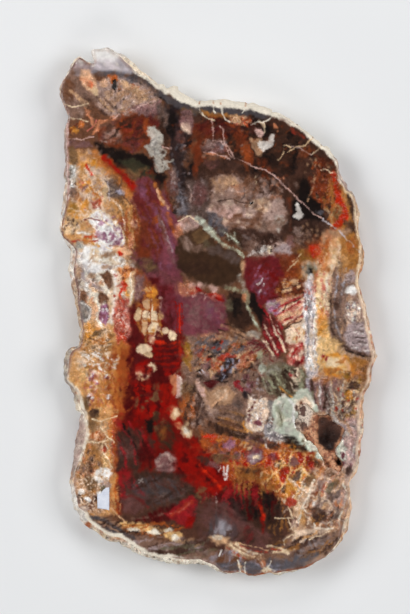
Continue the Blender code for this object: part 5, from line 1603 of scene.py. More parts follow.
# pale lobes round the hollow
for x, y, wide, high, lean in ((83, -124, 4, 4, 0), (93, -134, 6, 6, -35), (86, -129, 4, 4, 0),
        (101, -143, 3, 5, -30), (123, -140, 5, 9, -10), (122, -131, 4, 4, 0)):
    blob(x, y, wide, high, "celadon", 0.95, lean)
    blob(x + 1, y + 1, wide * 0.6, high * 0.6, "boneWhite", 0.7, lean)
patch("ink", 0.75, 64, -124, 76, -124, 86, -134, 92, -142, 82, -146, 70, -136, soft=2.2, mottle=0.6)
flecks(78, -134, 12, 8, 8, 1.4, "moss", 212, 0.8)
patch("cocoa", 0.85, 80, -136, 92, -142, 100, -148, 104, -156, 92, -156, 80, -148, soft=2.2)
blob(113, -164, 6, 6, "umber", 0.8)
# lilac-grey edge
clouds(134, -130, 8, 30, "stoneGrey", 213, 6, 0.45, 0.85)
streaks(133, -132, 8, 28, "mauve", 6, 214, 2.6, 5, 0.35, 0.6)
streaks(134, -130, 8, 28, "pink", 10, 215, 2.2, 6, 0.3, 0.6)
line("fawn", 2, 0.8, 116, -100, 122, -108, 130, -112, 134, -124)
flecks(128, -150, 8, 12, 8, 1.5, "plum", 216, 0.8)
blob(132, -158, 3.4, 4, "cocoa", 0.8)
# orange mottle below, broken into cells
patch("orange", 0.65, 46, -138, 70, -138, 94, -150, 98, -166, 88, -180, 60, -176, 46, -160, soft=3,
    mottle=0.8)
for colour, x, y, wide, high, lean in (("vermilion", 86, -150, 5, 9, 0), ("brick", 65, -163, 6, 9, 10),
        ("mauve", 75, -150, 5, 5, 0), ("greyBrown", 80, -163, 5.6, 9, 20), ("mauve", 94, -161, 4, 7, 0),
        ("brick", 72, -152, 4, 6, 0), ("cocoa", 60, -150, 4, 5, 0), ("plum", 56, -144, 4, 4, 0),
        ("russet", 92, -148, 4, 6, 0), ("cocoa", 66, -176, 3, 5, 10), ("ochre", 74, -174, 4, 6, 0),
        ("taupe", 88, -174, 4, 6, 20)):
    for scale, tone in ((1.25, "honey"), (1.0, colour)):
        blob(x, y, wide * scale, high * scale, tone, 0.9, lean, 0.2, 0.3)
clouds(74, -158, 26, 22, "rust", 220, 6, 0.4, 0.75)
streaks(74, -160, 22, 22, "gold", 10, 217, 2, 6, 0.22, 0.8)
flecks(74, -154, 24, 18, 12, 1.3, "shell", 218, 0.8, 2.0, 20)
flecks(70, -149, 26, 10, 16, 2.4, "vermilion", 252, 0.75)
blob(75, -150, 4.4, 4, "mauve", 0.8, mottle=0.6)
blob(80, -165, 4.4, 8, "greyBrown", 0.8, 20)
blob(66, -166, 4, 6, "vermilion", 0.6, 10)
cells(76, -164, 26, 26, 11, "paleGold", 219, 0.12, 0.9, 1.5, 15)

print("painting the bottom")
# pale cells of the lower right
patch("tan", 0.8, 84, -176, 110, -166, 126, -160, 130, -190, 120, -216, 84, -216, 72, -196, soft=3,
    mottle=0.8)
for colour, x, y, wide, high, lean in (("gold", 72, -174, 4, 8, 0), ("chalk", 97, -191, 5, 5, 0),
        ("amber", 85, -206, 4, 7, -20), ("cocoa", 106, -205, 9, 9, 0), ("fawn", 88, -190, 5, 8, 20),
        ("lilac", 102, -172, 5, 5, 0), ("taupe", 112, -188, 5, 8, 20), ("lilac", 123, -186, 4, 9, 0),
        ("brick", 107, -176, 3.4, 5, 0), ("olive", 118, -172, 5, 7, 20), ("russet", 96, -180, 3, 5, 20),
        ("ochre", 104, -212, 6, 4, 0), ("umber", 116, -200, 4, 7, 15), ("olive", 94, -168, 5, 6, 0),
        ("mauveBrown", 76, -210, 4, 5, 0)):
    blob(x, y, wide, high, colour, 0.85, lean, 0.25, 0.35, 0.6)
clouds(108, -192, 22, 30, "taupe", 221, 8, 0.45, 0.7, 0.5)
clouds(100, -206, 18, 14, "brown", 222, 6, 0.4, 0.75)
streaks(110, -186, 20, 30, "salmon", 20, 249, 2.6, 6, 0.35, 0.6)
cells(94, -192, 30, 32, 12, "shell", 223, 0.11, 0.85, 1.5, 25)
cells(112, -188, 20, 30, 8, "pinkGrey", 224, 0.11, 0.7, 1.6, 20)
clouds(112, -186, 16, 22, "greyBrown", 250, 7, 0.4, 0.7, 0.5)
patch("cocoa", 0.85, 92, -198, 98, -195, 106, -199, 109, -206, 103, -211, 95, -209, soft=1.6, mottle=0.7)
flecks(101, -205, 8, 6, 9, 1.3, "ochre", 251, 0.6)
blob(84, -203, 3.6, 7, "amber", 0.8, -20, 0.5)
blob(112, -176, 3.6, 6, "moss", 0.7, 20)
line("shell", 5, 0.65, 94, -176, 88, -187, 79, -199, 75, -211, soft=2.2)
patch("brick", 0.97, 66, -192, 70, -184, 74, -185, 80, -188, 77, -194, 71, -196, soft=1.0)
for path in ((88, -172, 82, -184, 80, -196), (96, -168, 92, -180, 84, -196, 80, -212),
        (84, -196, 94, -204, 98, -214), (124, -166, 128, -182, 124, -200, 120, -216)):
    line("boneWhite", 1.5, 0.75, *path)
# brown wedge and the pale tongue below
patch("cocoa", 0.85, 44, -190, 60, -188, 66, -206, 64, -226, 50, -228, soft=3)
streaks(58, -206, 12, 20, "ochre", 0, 225, 2.2, 6, 0.3, 0.7)
patch("shell", 0.9, 78, -218, 96, -216, 112, -216, 104, -222, 92, -228, 82, -230, 74, -228, soft=1.4,
    mottle=0.5)
line("amber", 2.4, 0.7, 80, -226, 90, -225, 100, -220)
patch("taupe", 0.9, 62, -232, 84, -232, 104, -226, 124, -216, 128, -208, 124, -230, 104, -246, 84, -248,
    60, -246, soft=2.5, mottle=0.5)
streaks(96, -234, 34, 12, "cocoa", 62, 226, 2.8, 7, 0.4, 0.85)
streaks(92, -236, 34, 12, "ochre", 66, 227, 2.4, 7, 0.28, 0.7)
streaks(98, -236, 34, 12, "ash", 60, 228, 2.0, 8, 0.24, 0.35)
edgeBand("steel", 12, 76, -250, 34, 14, 0.7)
edgeBand("fawn", 4, 100, -246, 22, 12, 0.5)
line("umber", 3, 0.7, 128, -206, 122, -226, 108, -242, soft=1.4)
# lower left corner
clouds(-126, -186, 16, 24, "fawn", 230, 6, 0.45, 0.8)
clouds(-126, -186, 15, 22, "ochre", 231, 5, 0.35, 0.8)
for colour, x, y, wide, high in (("moss", -116, -176, 3.4, 3), ("pinkGrey", -112, -172, 4, 3),
        ("white", -119, -180, 3, 2.4), ("chalk", -137, -181, 4, 3), ("cocoa", -138, -189, 4, 5),
        ("olive", -128, -172, 6, 5), ("white", -130, -187, 4, 2), ("brown", -126, -194, 5, 4),
        ("cocoa", -122, -186, 3, 5), ("pinkGrey", -134, -196, 5, 3)):
    blob(x, y, wide, high, colour, 0.9, 0, 0.25, 0.4)
cells(-128, -184, 16, 24, 6, "shell", 232, 0.11, 0.75)
line("orange", 6, 0.8, -103, -166, -104, -184, -102, -198, soft=2.2)
streaks(-103, -182, 8, 20, "amber", 0, 233, 1.8, 8, 0.4, 0.7)
line("crimson", 5, 0.85, -98, -160, -96, -174, -94, -186, soft=2)
patch("crimson", 0.8, -96, -156, -86, -162, -78, -176, -72, -186, -80, -182, -90, -176, soft=1.8)
# brown heart with grey swirls
blob(-62, -178, 26, 14, "slate", 0.55, mottle=0.4)
streaks(-56, -176, 32, 14, "greyBrown", 66, 234, 4, 6, 0.4, 0.6)
streaks(-56, -178, 34, 14, "umber", 66, 235, 4.4, 6, 0.35, 0.45)
line("umber", 5, 0.7, -88, -168, -72, -162, -50, -163, -34, -165, soft=2.4)
blob(-86, -192, 12, 9, "mauveBrown", 0.8, mottle=0.3)
line("maroon", 2, 0.8, -96, -186, -86, -184, -76, -188, -70, -196, soft=1)
patch("oxblood", 0.75, -84, -208, -60, -198, -44, -192, -42, -206, -60, -212, soft=2.5)
line("taupe", 2, 0.6, -84, -206, -68, -206, -54, -202, soft=1.2)
patch("crimson", 0.9, -54, -202, -40, -192, -26, -184, -20, -188, -21, -200, -27, -212, -33, -216,
    -43, -209, soft=1.6, mottle=0.35)
line("brick", 4, 0.7, -46, -202, -36, -196, -26, -190, soft=1.6)
line("rose", 1.2, 0.6, -50, -202, -38, -198, -28, -192)
patch("blood", 0.7, -30, -204, -22, -204, -26, -216, -34, -218, soft=1.6)
# gold band
line("paleGold", 9, 0.85, -94, -214, -76, -216, -58, -219, -40, -224, soft=2)
streaks(-68, -217, 30, 6, "burntOrange", 82, 236, 1.8, 6, 0.4, 0.8)
streaks(-62, -219, 28, 5, "cocoa", 86, 237, 1.6, 6, 0.3, 0.8)
for x, y, wide, high in ((-84, -217, 6, 2), (-64, -220, 6, 2.2), (-50, -219, 5, 2.4), (-42, -226, 5, 2.8)):
    blob(x, y, wide, high, "boneWhite", 0.9)
# grey rim band
patch("taupe", 0.9, -130, -206, -108, -206, -92, -220, -60, -228, -30, -232, -2, -240, 0, -254, -40, -250,
    -80, -238, -120, -222, soft=2.2, mottle=0.4)
for path in ((-126, -206, -112, -209, -98, -218, -84, -226), (-124, -213, -108, -218, -90, -228)):
    line("slate", 4, 0.85, *path, soft=1.4)
for path in ((-124, -209, -110, -213, -96, -222), (-118, -206, -104, -210, -94, -216),
        (-116, -220, -100, -225, -84, -232)):
    line("fawn", 1.4, 0.7, *path)
streaks(-104, -214, 24, 9, "umber", 68, 238, 2.4, 7, 0.35, 0.8)
streaks(-56, -234, 44, 9, "lilac", 78, 239, 3, 7, 0.35, 0.7)
streaks(-44, -236, 44, 9, "cocoa", 80, 240, 3, 7, 0.35, 0.8)
streaks(-30, -238, 34, 9, "moss", 78, 241, 3, 7, 0.25, 0.7)
for x, y in ((-26, -227), (-34, -230), (-20, -233), (-6, -230)):
    blob(x, y, 3.4, 1.4, "fawn", 0.8, -30)
# lower middle: red threads over brown
patch("umber", 0.8, 14, -184, 44, -186, 60, -190, 60, -212, 40, -216, 18, -206, soft=4, mottle=0.3)
streaks(26, -190, 34, 18, "oxblood", 0, 243, 2.6, 7, 0.45, 0.85)
streaks(20, -186, 32, 12, "crimson", 2, 244, 2.2, 7, 0.3, 0.75)
streaks(30, -194, 30, 14, "ink", 0, 245, 3, 6, 0.35, 0.8)
blob(36, -200, 5, 6, "ink", 0.6)
line("scarlet", 3, 0.85, 41, -190, 44, -198, 45, -206, soft=1.4)
line("blood", 3, 0.6, 44, -206, 46, -214, 45, -220, soft=1.6)
line("chalk", 0.8, 0.5, -1, -180, -1, -190, -2, -200)
blob(-8, -196, 14, 9, "darkBrown", 0.6)
patch("mauveBrown", 0.75, 8, -206, 34, -212, 54, -222, 50, -240, 24, -238, 10, -226, soft=4, mottle=0.3)
blob(30, -222, 5, 8, "maroon", 0.6)
blob(3, -208, 22, 20, "mauveBrown", 0.7, mottle=0.2)
patch("slate", 0.6, -14, -222, -2, -200, 8, -202, 22, -224, 12, -230, -6, -228, soft=4, mottle=0.2)
patch("ash", 0.75, -4, -220, 1, -206, 6, -206, 13, -218, 10, -223, -2, -223, soft=3, mottle=0.2)
streaks(24, -226, 34, 9, "cocoa", 40, 246, 4, 5, 0.4, 0.6)
# pale shards over the bottom rim
patch("tan", 0.9, -10, -226, 0, -222, 12, -226, 8, -232, -2, -234, soft=1.8, mottle=0.5)
blob(-2, -226, 5, 2.6, "boneWhite", 0.7)
patch("fawn", 0.85, 8, -230, 20, -231, 34, -240, 46, -246, 30, -249, 16, -244, 8, -238, soft=1.6,
    mottle=0.6)
for path in ((12, -232, 22, -240, 36, -246), (18, -232, 30, -239, 44, -242), (50, -234, 62, -236, 70, -242),
        (56, -240, 66, -241, 76, -238)):
    line("cream", 2.2, 0.85, *path, soft=0.8)
for path in ((10, -236, 22, -245, 34, -250), (22, -234, 36, -238, 50, -240), (54, -237, 64, -239)):
    line("brick", 1.2, 0.8, *path)
streaks(14, -244, 26, 7, "blueGrey", 40, 247, 2.4, 5, 0.3, 0.4)
patch("steel", 0.8, -2, -250, 20, -250, 60, -252, 62, -262, 30, -264, -2, -258, soft=2, mottle=0.3)
streaks(34, -256, 34, 6, "lavender", 84, 248, 2.4, 7, 0.28, 0.45)
line("tan", 3, 0.8, 20, -252, 24, -258, 27, -262)
blob(48, -258, 5, 3.4, "cream", 0.9)
blob(44, -251, 3, 3, "salmon", 0.8)

print("painting the rim")
edgeBand("pinkGrey", 2.0, 0, 0, 300, 400, 0.4)
edgeBand("mauveBrown", 1.0, -150, 60, 30, 240, 0.5)
edgeBand("cream", 2.0, 140, 60, 26, 120, 0.7)
edgeBand("shell", 2.0, 146, -100, 22, 120, 0.7)
edgeBand("boneWhite", 2.6, 20, 212, 80, 26, 0.97)
edgeBand("boneWhite", 2.2, 100, 172, 32, 40, 0.95)
edgeBand("boneWhite", 2.0, -52, 222, 40, 26, 0.9)
edgeBand("chalk", 2.2, -116, 264, 26, 12, 0.6)
edgeBand("boneWhite", 2.4, -145, -110, 22, 46, 0.8)
edgeBand("pink", 1.8, -155, 156, 14, 44, 0.6)
edgeBand("boneWhite", 2.6, -90, -226, 64, 34, 0.95)
edgeBand("rust", 1.2, 60, -258, 60, 12, 0.6)

print("painting the veins")
for colour, width, *path in veins:
    line(colour, width * veinLook["width"], veinLook["cover"], *vein(path), wander=0.0, soft=veinLook["soft"],
         vary=0.05)

print("painting the bark side")
canvas.allowed = kind == 2
paintSide(canvas, kind, depthOf)
blob(20, 215, 78, 22, "boneWhite", 0.97, rag=0.1, vary=0.03, mottle=0.2)
blob(96, 180, 30, 34, "boneWhite", 0.95, rag=0.1, vary=0.03, mottle=0.2)
blob(-40, 222, 30, 20, "boneWhite", 0.9, rag=0.1, vary=0.03, mottle=0.2)
blob(130, 130, 22, 26, "pinkGrey", 0.6, rag=0.2)
blob(146, 60, 18, 60, "tan", 0.6, rag=0.3)
blob(150, -60, 20, 70, "peach", 0.55, rag=0.3)
blob(140, -180, 22, 50, "peach", 0.5, rag=0.3)
blob(-112, 260, 34, 12, "chalk", 0.8, rag=0.1)
blob(-84, 246, 18, 12, "cream", 0.6, rag=0.3)
blob(-156, 180, 14, 60, "pinkGrey", 0.7, rag=0.2)
blob(-154, 70, 16, 60, "chalk", 0.7, rag=0.2)
blob(-146, -8, 16, 30, "fawn", 0.5, rag=0.3)
blob(-150, -60, 16, 34, "grey", 0.5, rag=0.3)
blob(-146, -134, 16, 34, "pinkGrey", 0.75, rag=0.2)
blob(-140, -200, 20, 34, "chalk", 0.8, rag=0.15)
blob(-70, -246, 80, 20, "boneWhite", 0.8, rag=0.15)
blob(-130, -214, 3.4, 3.4, "burntOrange", 0.95)
for x, y in ((-99, -230.5), (-81, -238), (-48, -247), (-54, -251), (-64, -246), (-20, -252), (-112, -226)):
    blob(x, y, 1.3, 1.1, "umber", 0.9)
flecks(-60, -248, 60, 10, 60, 0.9, "fawn", 251, 0.7)
flecks(-150, 60, 10, 90, 60, 1.6, "fawn", 252, 0.6, 2.4)
flecks(148, -30, 10, 160, 120, 1.6, "brick", 253, 0.35, 2.4)
flecks(148, -60, 10, 170, 120, 1.4, "fawn", 254, 0.6, 2.4)
for x in (-19, -5, 3, 28, 54):
    line("burntOrange", 0.9, 0.8, x, 205, x + 1, 218, wander=0.3)
for x, y in ((97, 176), (105, 168), (121, 150), (80, 188)):
    line("brown", 0.9, 0.7, x - 3, y - 3, x + 4, y + 5, wander=0.3)
canvas.allowed = None


# Adds one node, sets the inputs given by name or number, and returns it.
def addNode(tree, kind, inputs=None, **settings):
    node = tree.nodes.new(kind)
    for key, value in settings.items():
        setattr(node, key, value)
    for key, value in (inputs or {}).items():
        if isinstance(value, bpy.types.NodeSocket):
            tree.links.new(value, node.inputs[key])
        else:
            node.inputs[key].default_value = value
    return node


def newMaterial(name):
    material = bpy.data.materials.new(name)
    material.use_nodes = True
    tree = material.node_tree
    return material, tree, tree.nodes["Principled BSDF"]


stoneFinish = {
    "grainSize": 1.0,        # millimetres
    "cloudSize": 3.0,
    "fleckSize": 2.6,
    "swirlSize": 8.0,
    "grainStrength": 1.3,
    "shards": ((3.0, 0.55), (6.5, 0.35)),     # size and strength
    "polish": 0.13,
    "gloss": 0.35,
    "barkRoughness": 0.85,
}


def noiseAt(tree, vector, size, shift, **settings):
    place = (shift, shift * 0.7, shift * 0.3)
    moved = addNode(tree, "ShaderNodeMapping", {"Vector": vector, "Location": place})
    inputs = {"Vector": moved.outputs["Vector"], "Scale": 1 / size, "Detail": 3.0, "Roughness": 0.6}
    inputs.update(settings)
    return addNode(tree, "ShaderNodeTexNoise", inputs).outputs["Fac"]


def mathNode(tree, operation, first, second):
    return addNode(tree, "ShaderNodeMath", {0: first, 1: second}, operation=operation).outputs[0]


def spread(tree, value, low, high, start=0.0, end=1.0):
    inputs = {"Value": value, "From Min": low, "From Max": high, "To Min": start, "To Max": end}
    return addNode(tree, "ShaderNodeMapRange", inputs, interpolation_type="SMOOTHSTEP").outputs["Result"]


def mixColours(tree, factor, first, second):
    node = addNode(tree, "ShaderNodeMix", {"Factor": factor}, data_type="RGBA")
    for socket, value in ((node.inputs[6], first), (node.inputs[7], second)):
        if isinstance(value, bpy.types.NodeSocket):
            tree.links.new(value, socket)
        else:
            socket.default_value = value
    return node.outputs[2]


def stoneMaterial():
    finish = stoneFinish
    material, tree, surface = newMaterial("polishedWoodStone")
    paint = addNode(tree, "ShaderNodeAttribute", attribute_name="paint").outputs["Color"]
    detail = addNode(tree, "ShaderNodeAttribute", attribute_name="detail")
    parts = addNode(tree, "ShaderNodeSeparateColor", {"Color": detail.outputs["Color"]})
    mottle, rough = parts.outputs["Red"], parts.outputs["Green"]
    place = addNode(tree, "ShaderNodeTexCoord")
    big = addNode(tree, "ShaderNodeMapping", {"Vector": place.outputs["Object"], "Scale": (1000, 1000, 1000)})
    big = big.outputs["Vector"]
    swirl = addNode(tree, "ShaderNodeTexNoise",
                    {"Vector": big, "Scale": 1 / finish["swirlSize"], "Detail": 2.0})
    shift = addNode(tree, "ShaderNodeVectorMath", {0: swirl.outputs["Color"], 1: (9.0, 9.0, 9.0)},
                    operation="MULTIPLY")
    swirled = addNode(tree, "ShaderNodeVectorMath", {0: big, 1: shift.outputs[0]}, operation="ADD").outputs[0]
    grain = noiseAt(tree, big, finish["grainSize"], 0.0)
    cloud = noiseAt(tree, swirled, finish["cloudSize"], 20.0)
    strong = spread(tree, mottle, 0.3, 0.95)
    # light and dark grain and shards, as strong as the zone's mottle
    both = mathNode(tree, "ADD", grain, cloud)
    centred = mathNode(tree, "SUBTRACT", both, 1.0)
    swing = mathNode(tree, "MULTIPLY", centred, finish["grainStrength"])
    for size, amount in finish["shards"]:
        cells = addNode(tree, "ShaderNodeTexVoronoi", {"Vector": swirled, "Scale": 1 / size})
        cell = addNode(tree, "ShaderNodeSeparateColor", {"Color": cells.outputs["Color"]}).outputs["Red"]
        share = mathNode(tree, "MULTIPLY", mathNode(tree, "SUBTRACT", cell, 0.5), amount)
        swing = mathNode(tree, "ADD", swing, share)
    value = mathNode(tree, "ADD", mathNode(tree, "MULTIPLY", swing, mottle), 1.0)
    lit = addNode(tree, "ShaderNodeHueSaturation", {"Color": paint, "Value": value}).outputs["Color"]
    # dark specks, pale flecks, and wandering hairlines of pale silica
    dark = spread(tree, noiseAt(tree, swirled, finish["fleckSize"], 40.0), 0.56, 0.66, 0.0, 0.58)
    shaded = addNode(tree, "ShaderNodeHueSaturation", {"Color": lit, "Value": 0.42}).outputs["Color"]
    lit = mixColours(tree, mathNode(tree, "MULTIPLY", dark, strong), lit, shaded)
    pale = spread(tree, noiseAt(tree, swirled, finish["fleckSize"], 60.0), 0.56, 0.66, 0.0, 0.58)
    bright = addNode(tree, "ShaderNodeHueSaturation",
                     {"Color": lit, "Value": 1.65, "Saturation": 0.8}).outputs["Color"]
    lit = mixColours(tree, mathNode(tree, "MULTIPLY", pale, strong), lit, bright)
    ridge = mathNode(tree, "SUBTRACT", noiseAt(tree, swirled, 7.0, 80.0, Detail=2.0), 0.5)
    ridge = mathNode(tree, "ABSOLUTE", ridge, 0)
    hair = spread(tree, ridge, 0.0, 0.02, 0.6, 0.0)
    brighter = addNode(tree, "ShaderNodeHueSaturation", {"Color": lit, "Value": 1.7, "Saturation": 0.7})
    lit = mixColours(tree, mathNode(tree, "MULTIPLY", hair, strong), lit, brighter.outputs["Color"])
    tree.links.new(lit, surface.inputs["Base Color"])
    roughAll = mathNode(tree, "ADD", rough, mathNode(tree, "MULTIPLY", centred, 0.12))
    tree.links.new(roughAll, surface.inputs["Roughness"])
    bump = addNode(tree, "ShaderNodeBump", {"Height": both, "Distance": 0.0004, "Strength": rough})
    tree.links.new(bump.outputs["Normal"], surface.inputs["Normal"])
    surface.inputs["IOR"].default_value = 1.54
    surface.inputs["Specular IOR Level"].default_value = finish["gloss"]
    return material


def toLinear(colour):
    colour = np.clip(colour, 0.0, 1.0)
    return np.where(colour <= 0.04045, colour / 12.92, ((colour + 0.055) / 1.055) ** 2.4)


def storeColours(thing, name, colour):
    layer = thing.data.color_attributes.new(name, "FLOAT_COLOR", "POINT")
    full = np.ones((len(colour), 4), np.float32)
    full[:, :3] = colour
    layer.data.foreach_set("color", full.ravel())


roughness = np.full(len(spots), stoneFinish["polish"])
roughness[kind == 1] = 0.7
roughness[kind == 2] = stoneFinish["barkRoughness"]
roughness[kind == 3] = 0.55
storeColours(slab, "paint", toLinear(canvas.colour))
storeColours(slab, "detail", np.stack([canvas.mottle, roughness, np.zeros(len(spots))], 1))
slab.data.materials.append(stoneMaterial())
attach(slab, "root")
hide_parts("slab")


# The crust of crystals

crustShape = {
    "pitch": 0.72,
    "edge": 0.75,           # how far inside the lip it starts
    "shell": 1.5,
    "lump": 0.75,
    "crystal": 0.75,
    "crystalSize": 1.9,
    # wall is the hollow's dark brown deepened by painted shade, and dark is a painted shadow
    "tones": {"salmon": (208, 150, 112), "rusty": (150, 88, 58), "rock": (216, 196, 178), "pit": (92, 60, 48),
              "wall": (104, 70, 58), "dark": (44, 28, 24)},
}


def buildCrust():
    shape = crustShape
    edge = turnedLeft(curveAt(lip, evenLoop(lip, 0.8)))
    edge = drawIn(edge, shape["edge"])
    inner = staggered(edge.min(0), edge.max(0), shape["pitch"], 0.3, 9)
    inner = inner[isInside(inner[:, 0], inner[:, 1], edge)]
    inner = clearOf(inner, edge, 0.45)
    points, faces, place = joinUp([edge], inner)
    x, y = points.T
    z = np.array([crustTop(a, b) for a, b in points])
    first, second = scattered(x + z * 0.6 + 300, y - z * 0.5 + 300, shape["crystalSize"], 4)
    z = z + shape["lump"] * fbm(x, y, 5.0, 3, 71) + shape["crystal"] * (0.75 - first * 1.4)
    z = np.minimum(z, thickness - 0.5)
    count = len(points)
    top = np.column_stack([points, z])
    bottom = np.column_stack([points, z - shape["shell"]])
    rimIndex = np.full(len(edge), -1)
    for index, origin in enumerate(place):
        if 0 <= origin < len(edge):
            rimIndex[origin] = index
    allFaces = [tuple(face) for face in faces] + [tuple(i + count for i in face[::-1]) for face in faces]
    for i in range(len(edge)):
        j = (i + 1) % len(edge)
        a, b = rimIndex[i], rimIndex[j]
        allFaces.append((b, a, a + count))
        allFaces.append((b, a + count, b + count))
    return np.concatenate([top, bottom]), allFaces, first


def crustMaterial():
    material, tree, surface = newMaterial("rustyQuartzCrust")
    paint = addNode(tree, "ShaderNodeAttribute", attribute_name="paint")
    place = addNode(tree, "ShaderNodeTexCoord")
    big = addNode(tree, "ShaderNodeMapping", {"Vector": place.outputs["Object"], "Scale": (1000, 1000, 1000)})
    grain = addNode(tree, "ShaderNodeTexNoise",
                    {"Vector": big.outputs["Vector"], "Scale": 1.1, "Detail": 4.0})
    sparkle = addNode(tree, "ShaderNodeTexVoronoi", {"Vector": big.outputs["Vector"], "Scale": 0.9})
    swing = addNode(tree, "ShaderNodeMapRange",
                    {"Value": grain.outputs["Fac"], "From Min": 0.3, "From Max": 0.7,
                                                 "To Min": 0.6, "To Max": 1.4})
    lit = addNode(tree, "ShaderNodeHueSaturation",
                  {"Color": paint.outputs["Color"], "Value": swing.outputs["Result"]})
    tree.links.new(lit.outputs["Color"], surface.inputs["Base Color"])
    rough = addNode(tree, "ShaderNodeMapRange", {"Value": sparkle.outputs["Distance"], "From Min": 0.0,
                                                 "From Max": 0.8, "To Min": 0.3, "To Max": 0.75})
    tree.links.new(rough.outputs["Result"], surface.inputs["Roughness"])
    bump = addNode(tree, "ShaderNodeBump",
                   {"Height": sparkle.outputs["Distance"], "Distance": 0.0005, "Strength": 0.7})
    tree.links.new(bump.outputs["Normal"], surface.inputs["Normal"])
    surface.inputs["IOR"].default_value = 1.54
    return material


def paintCrust(spots, first):
    x, y, z = spots.T
    stain = fbm(x, y, 4.0, 3, 91)[:, None]
    tones = {name: np.array(value) / 255.0 for name, value in crustShape["tones"].items()}
    colour = tones["rusty"] + (tones["salmon"] - tones["rusty"]) * smoothStep(-0.35, 0.25, stain)
    # the ledge at the head is pale rock with brown pits
    head = smoothStep(6.0, -6.0, (x - 90) - (y + 112) * 0.8 + 5 * fbm(x, y, 7.0, 2, 93))[:, None]
    share = smoothStep(0.15, 0.4, fbm(x, y, 5.5, 3, 95))[:, None]
    rock = tones["rock"] + (tones["pit"] - tones["rock"]) * share
    colour = colour + (rock - colour) * head
    # painted shade: the crust is darker in the grooves between the crystals
    grooveShade = smoothStep(0.55, 0.85, np.tile(first, 2))[:, None]
    colour = colour * (1 - 0.45 * grooveShade)
    # deeper in the hollow the crust turns to the wall tone, partly its own dark brown and partly painted
    # shade; towards its lower side it turns near black, a painted shadow
    depth = thickness - z
    deep = smoothStep(4.0, 10.0, depth)[:, None]
    low = smoothStep(-116.0, -132.0, y + 4 * fbm(x, y, 6.0, 3, 99))[:, None]
    hole = tones["wall"] + (tones["dark"] - tones["wall"]) * low
    return colour + (hole - colour) * 0.96 * deep


print("growing the crust")
crustPoints, crustAllFaces, crystalAway = buildCrust()
crust = makeObject("quartzCrust", crustPoints, crustAllFaces)
storeColours(crust, "paint", toLinear(paintCrust(crustPoints, crystalAway)))
crust.data.materials.append(crustMaterial())
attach(crust, "root")
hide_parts("vug_crust")
print("crust", len(crustPoints), "points")


# The paper label

labelShape = {
    "under": 30.05,
    "paper": 0.3,
    "curl": 0.22,
}


def buildLabel():
    shape = labelShape
    spots, faces = readNode("label")
    outline = turnedLeft(spots[loopsFrom(edgesAt(spots, faces, spots[:, 2].max(), True))[0], :2])
    edge = np.concatenate([pointsAlong([a, b], 0.9)[:-1] for a, b in zip(outline, np.roll(outline, -1, 0))])
    middle = edge.mean(0)
    edge = middle + (edge - middle) * 0.99
    inner = staggered(edge.min(0), edge.max(0), 1.2, 0.2, 13)
    inner = inner[isInside(inner[:, 0], inner[:, 1], edge)]
    inner = clearOf(inner, edge, 0.6)
    points, faces, place = joinUp([edge], inner)
    x, y = points.T
    away = np.hypot((x - middle[0]) / 7.0, (y - middle[1]) / 12.0)
    rise = shape["curl"] * smoothStep(0.75, 1.25, away) * (0.6 + 0.5 * fbm(x, y, 9.0, 2, 15))
    rise = np.clip(rise, 0.0, shape["curl"])
    low = shape["under"] + rise
    count = len(points)
    rimIndex = {origin: index for index, origin in enumerate(place) if 0 <= origin < len(edge)}
    allFaces = [tuple(face) for face in faces] + [tuple(i + count for i in face[::-1]) for face in faces]
    for i in range(len(edge)):
        a, b = rimIndex[i], rimIndex[(i + 1) % len(edge)]
        allFaces.append((b, a, a + count))
        allFaces.append((b, a + count, b + count))
    top = np.column_stack([points, low + shape["paper"]])
    return np.concatenate([top, np.column_stack([points, low])]), allFaces


def paperMaterial():
    material, tree, surface = newMaterial("labelPaper")
    place = addNode(tree, "ShaderNodeTexCoord")
    big = addNode(tree, "ShaderNodeMapping", {"Vector": place.outputs["Object"], "Scale": (1000, 1000, 1000)})
    fibre = addNode(tree, "ShaderNodeTexNoise",
                    {"Vector": big.outputs["Vector"], "Scale": 1.6, "Detail": 5.0})
    stain = addNode(tree, "ShaderNodeTexNoise",
                    {"Vector": big.outputs["Vector"], "Scale": 0.13, "Detail": 3.0})
    both = addNode(tree, "ShaderNodeMath",
                   {0: fibre.outputs["Fac"], 1: stain.outputs["Fac"]}, operation="ADD")
    ramp = addNode(tree, "ShaderNodeMapRange", {"Value": both.outputs[0], "From Min": 0.7, "From Max": 1.3})
    mixed = addNode(tree, "ShaderNodeMix", {"Factor": ramp.outputs["Result"], "A": (0.62, 0.65, 0.76, 1),
                                            "B": (0.83, 0.85, 0.92, 1)}, data_type="RGBA")
    tree.links.new(mixed.outputs["Result"], surface.inputs["Base Color"])
    bump = addNode(tree, "ShaderNodeBump",
                   {"Height": fibre.outputs["Fac"], "Distance": 0.0001, "Strength": 0.5})
    tree.links.new(bump.outputs["Normal"], surface.inputs["Normal"])
    surface.inputs["Roughness"].default_value = 0.8
    return material


print("cutting the label")
labelPoints, labelFaces = buildLabel()
label = makeObject("paperLabel", labelPoints, labelFaces)
label.data.materials.append(paperMaterial())
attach(label, "root")
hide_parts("label")


# Floor, lights and camera

studio = {
    "floorColour": (0.86, 0.87, 0.88),
    "sideLight": 42.0,
    "sideLightSize": 1.5,
    "endLight": 20.0,
    "worldColour": (0.5, 0.52, 0.55),
    "worldStrength": 0.12,
    "cameraAbove": 1.7056,
    "cameraPlace": (-13.0, 5.0),
    "lens": 100.0,
}


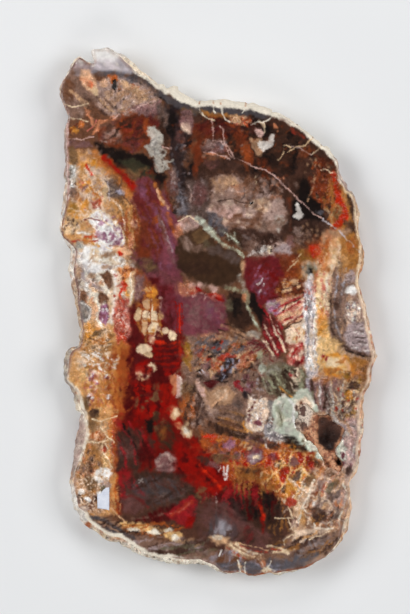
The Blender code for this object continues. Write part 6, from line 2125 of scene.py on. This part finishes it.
def buildFloor():
    floor = makeObject("floor", [(-9000, -9000, 0), (9000, -9000, 0), (9000, 9000, 0), (-9000, 9000, 0)],
                       [(0, 1, 2, 3)], False)
    material, tree, surface = newMaterial("paleFloor")
    place = addNode(tree, "ShaderNodeTexCoord")
    cloud = addNode(tree, "ShaderNodeTexNoise",
                    {"Vector": place.outputs["Object"], "Scale": 1.5, "Detail": 2.0})
    tone = addNode(tree, "ShaderNodeMapRange", {"Value": cloud.outputs["Fac"], "To Min": 0.9, "To Max": 1.04})
    lit = addNode(tree, "ShaderNodeHueSaturation", {"Color": (*studio["floorColour"], 1),
                                                    "Value": tone.outputs["Result"]})
    tree.links.new(lit.outputs["Color"], surface.inputs["Base Color"])
    surface.inputs["Roughness"].default_value = 0.85
    floor.data.materials.append(material)


def addLight(name, place, size, power):
    light = bpy.data.lights.new(name, "AREA")
    light.shape = "RECTANGLE"
    light.size = size[0]
    light.size_y = size[1]
    light.energy = power
    thing = bpy.data.objects.new(name, light)
    thing.location = place
    thing.rotation_mode = "QUATERNION"
    thing.rotation_quaternion = (Vector((0, 0, 0.02)) - Vector(place)).to_track_quat("-Z", "Y")
    bpy.context.scene.collection.objects.link(thing)


def buildStudio():
    size = studio["sideLightSize"]
    addLight("leftSoftbox", (-2.0, 0.5, 1.9), (size, size), studio["sideLight"])
    addLight("rightSoftbox", (2.0, 0.3, 1.9), (size, size), studio["sideLight"] * 0.9)
    addLight("topSoftbox", (0.0, 2.3, 1.7), (size, 0.9), studio["endLight"])
    addLight("bottomSoftbox", (0.0, -2.3, 1.7), (size, 0.9), studio["endLight"] * 0.8)
    world = bpy.context.scene.world or bpy.data.worlds.new("studio")
    bpy.context.scene.world = world
    world.use_nodes = True
    background = world.node_tree.nodes["Background"]
    background.inputs["Color"].default_value = (*studio["worldColour"], 1)
    background.inputs["Strength"].default_value = studio["worldStrength"]
    camera = bpy.data.cameras.new("camera")
    camera.lens = studio["lens"]
    camera.sensor_width = 36.0
    camera.clip_start = 0.01
    camera.clip_end = 50.0
    thing = bpy.data.objects.new("camera", camera)
    x, y = studio["cameraPlace"]
    thing.location = ((x - cadMiddle.x) * 0.001, (y - cadMiddle.y) * 0.001,
                      thickness * 0.001 + studio["cameraAbove"])
    bpy.context.scene.collection.objects.link(thing)
    bpy.context.scene.camera = thing
    bpy.context.scene.view_settings.view_transform = "Standard"


print("setting up the studio")
buildFloor()
buildStudio()
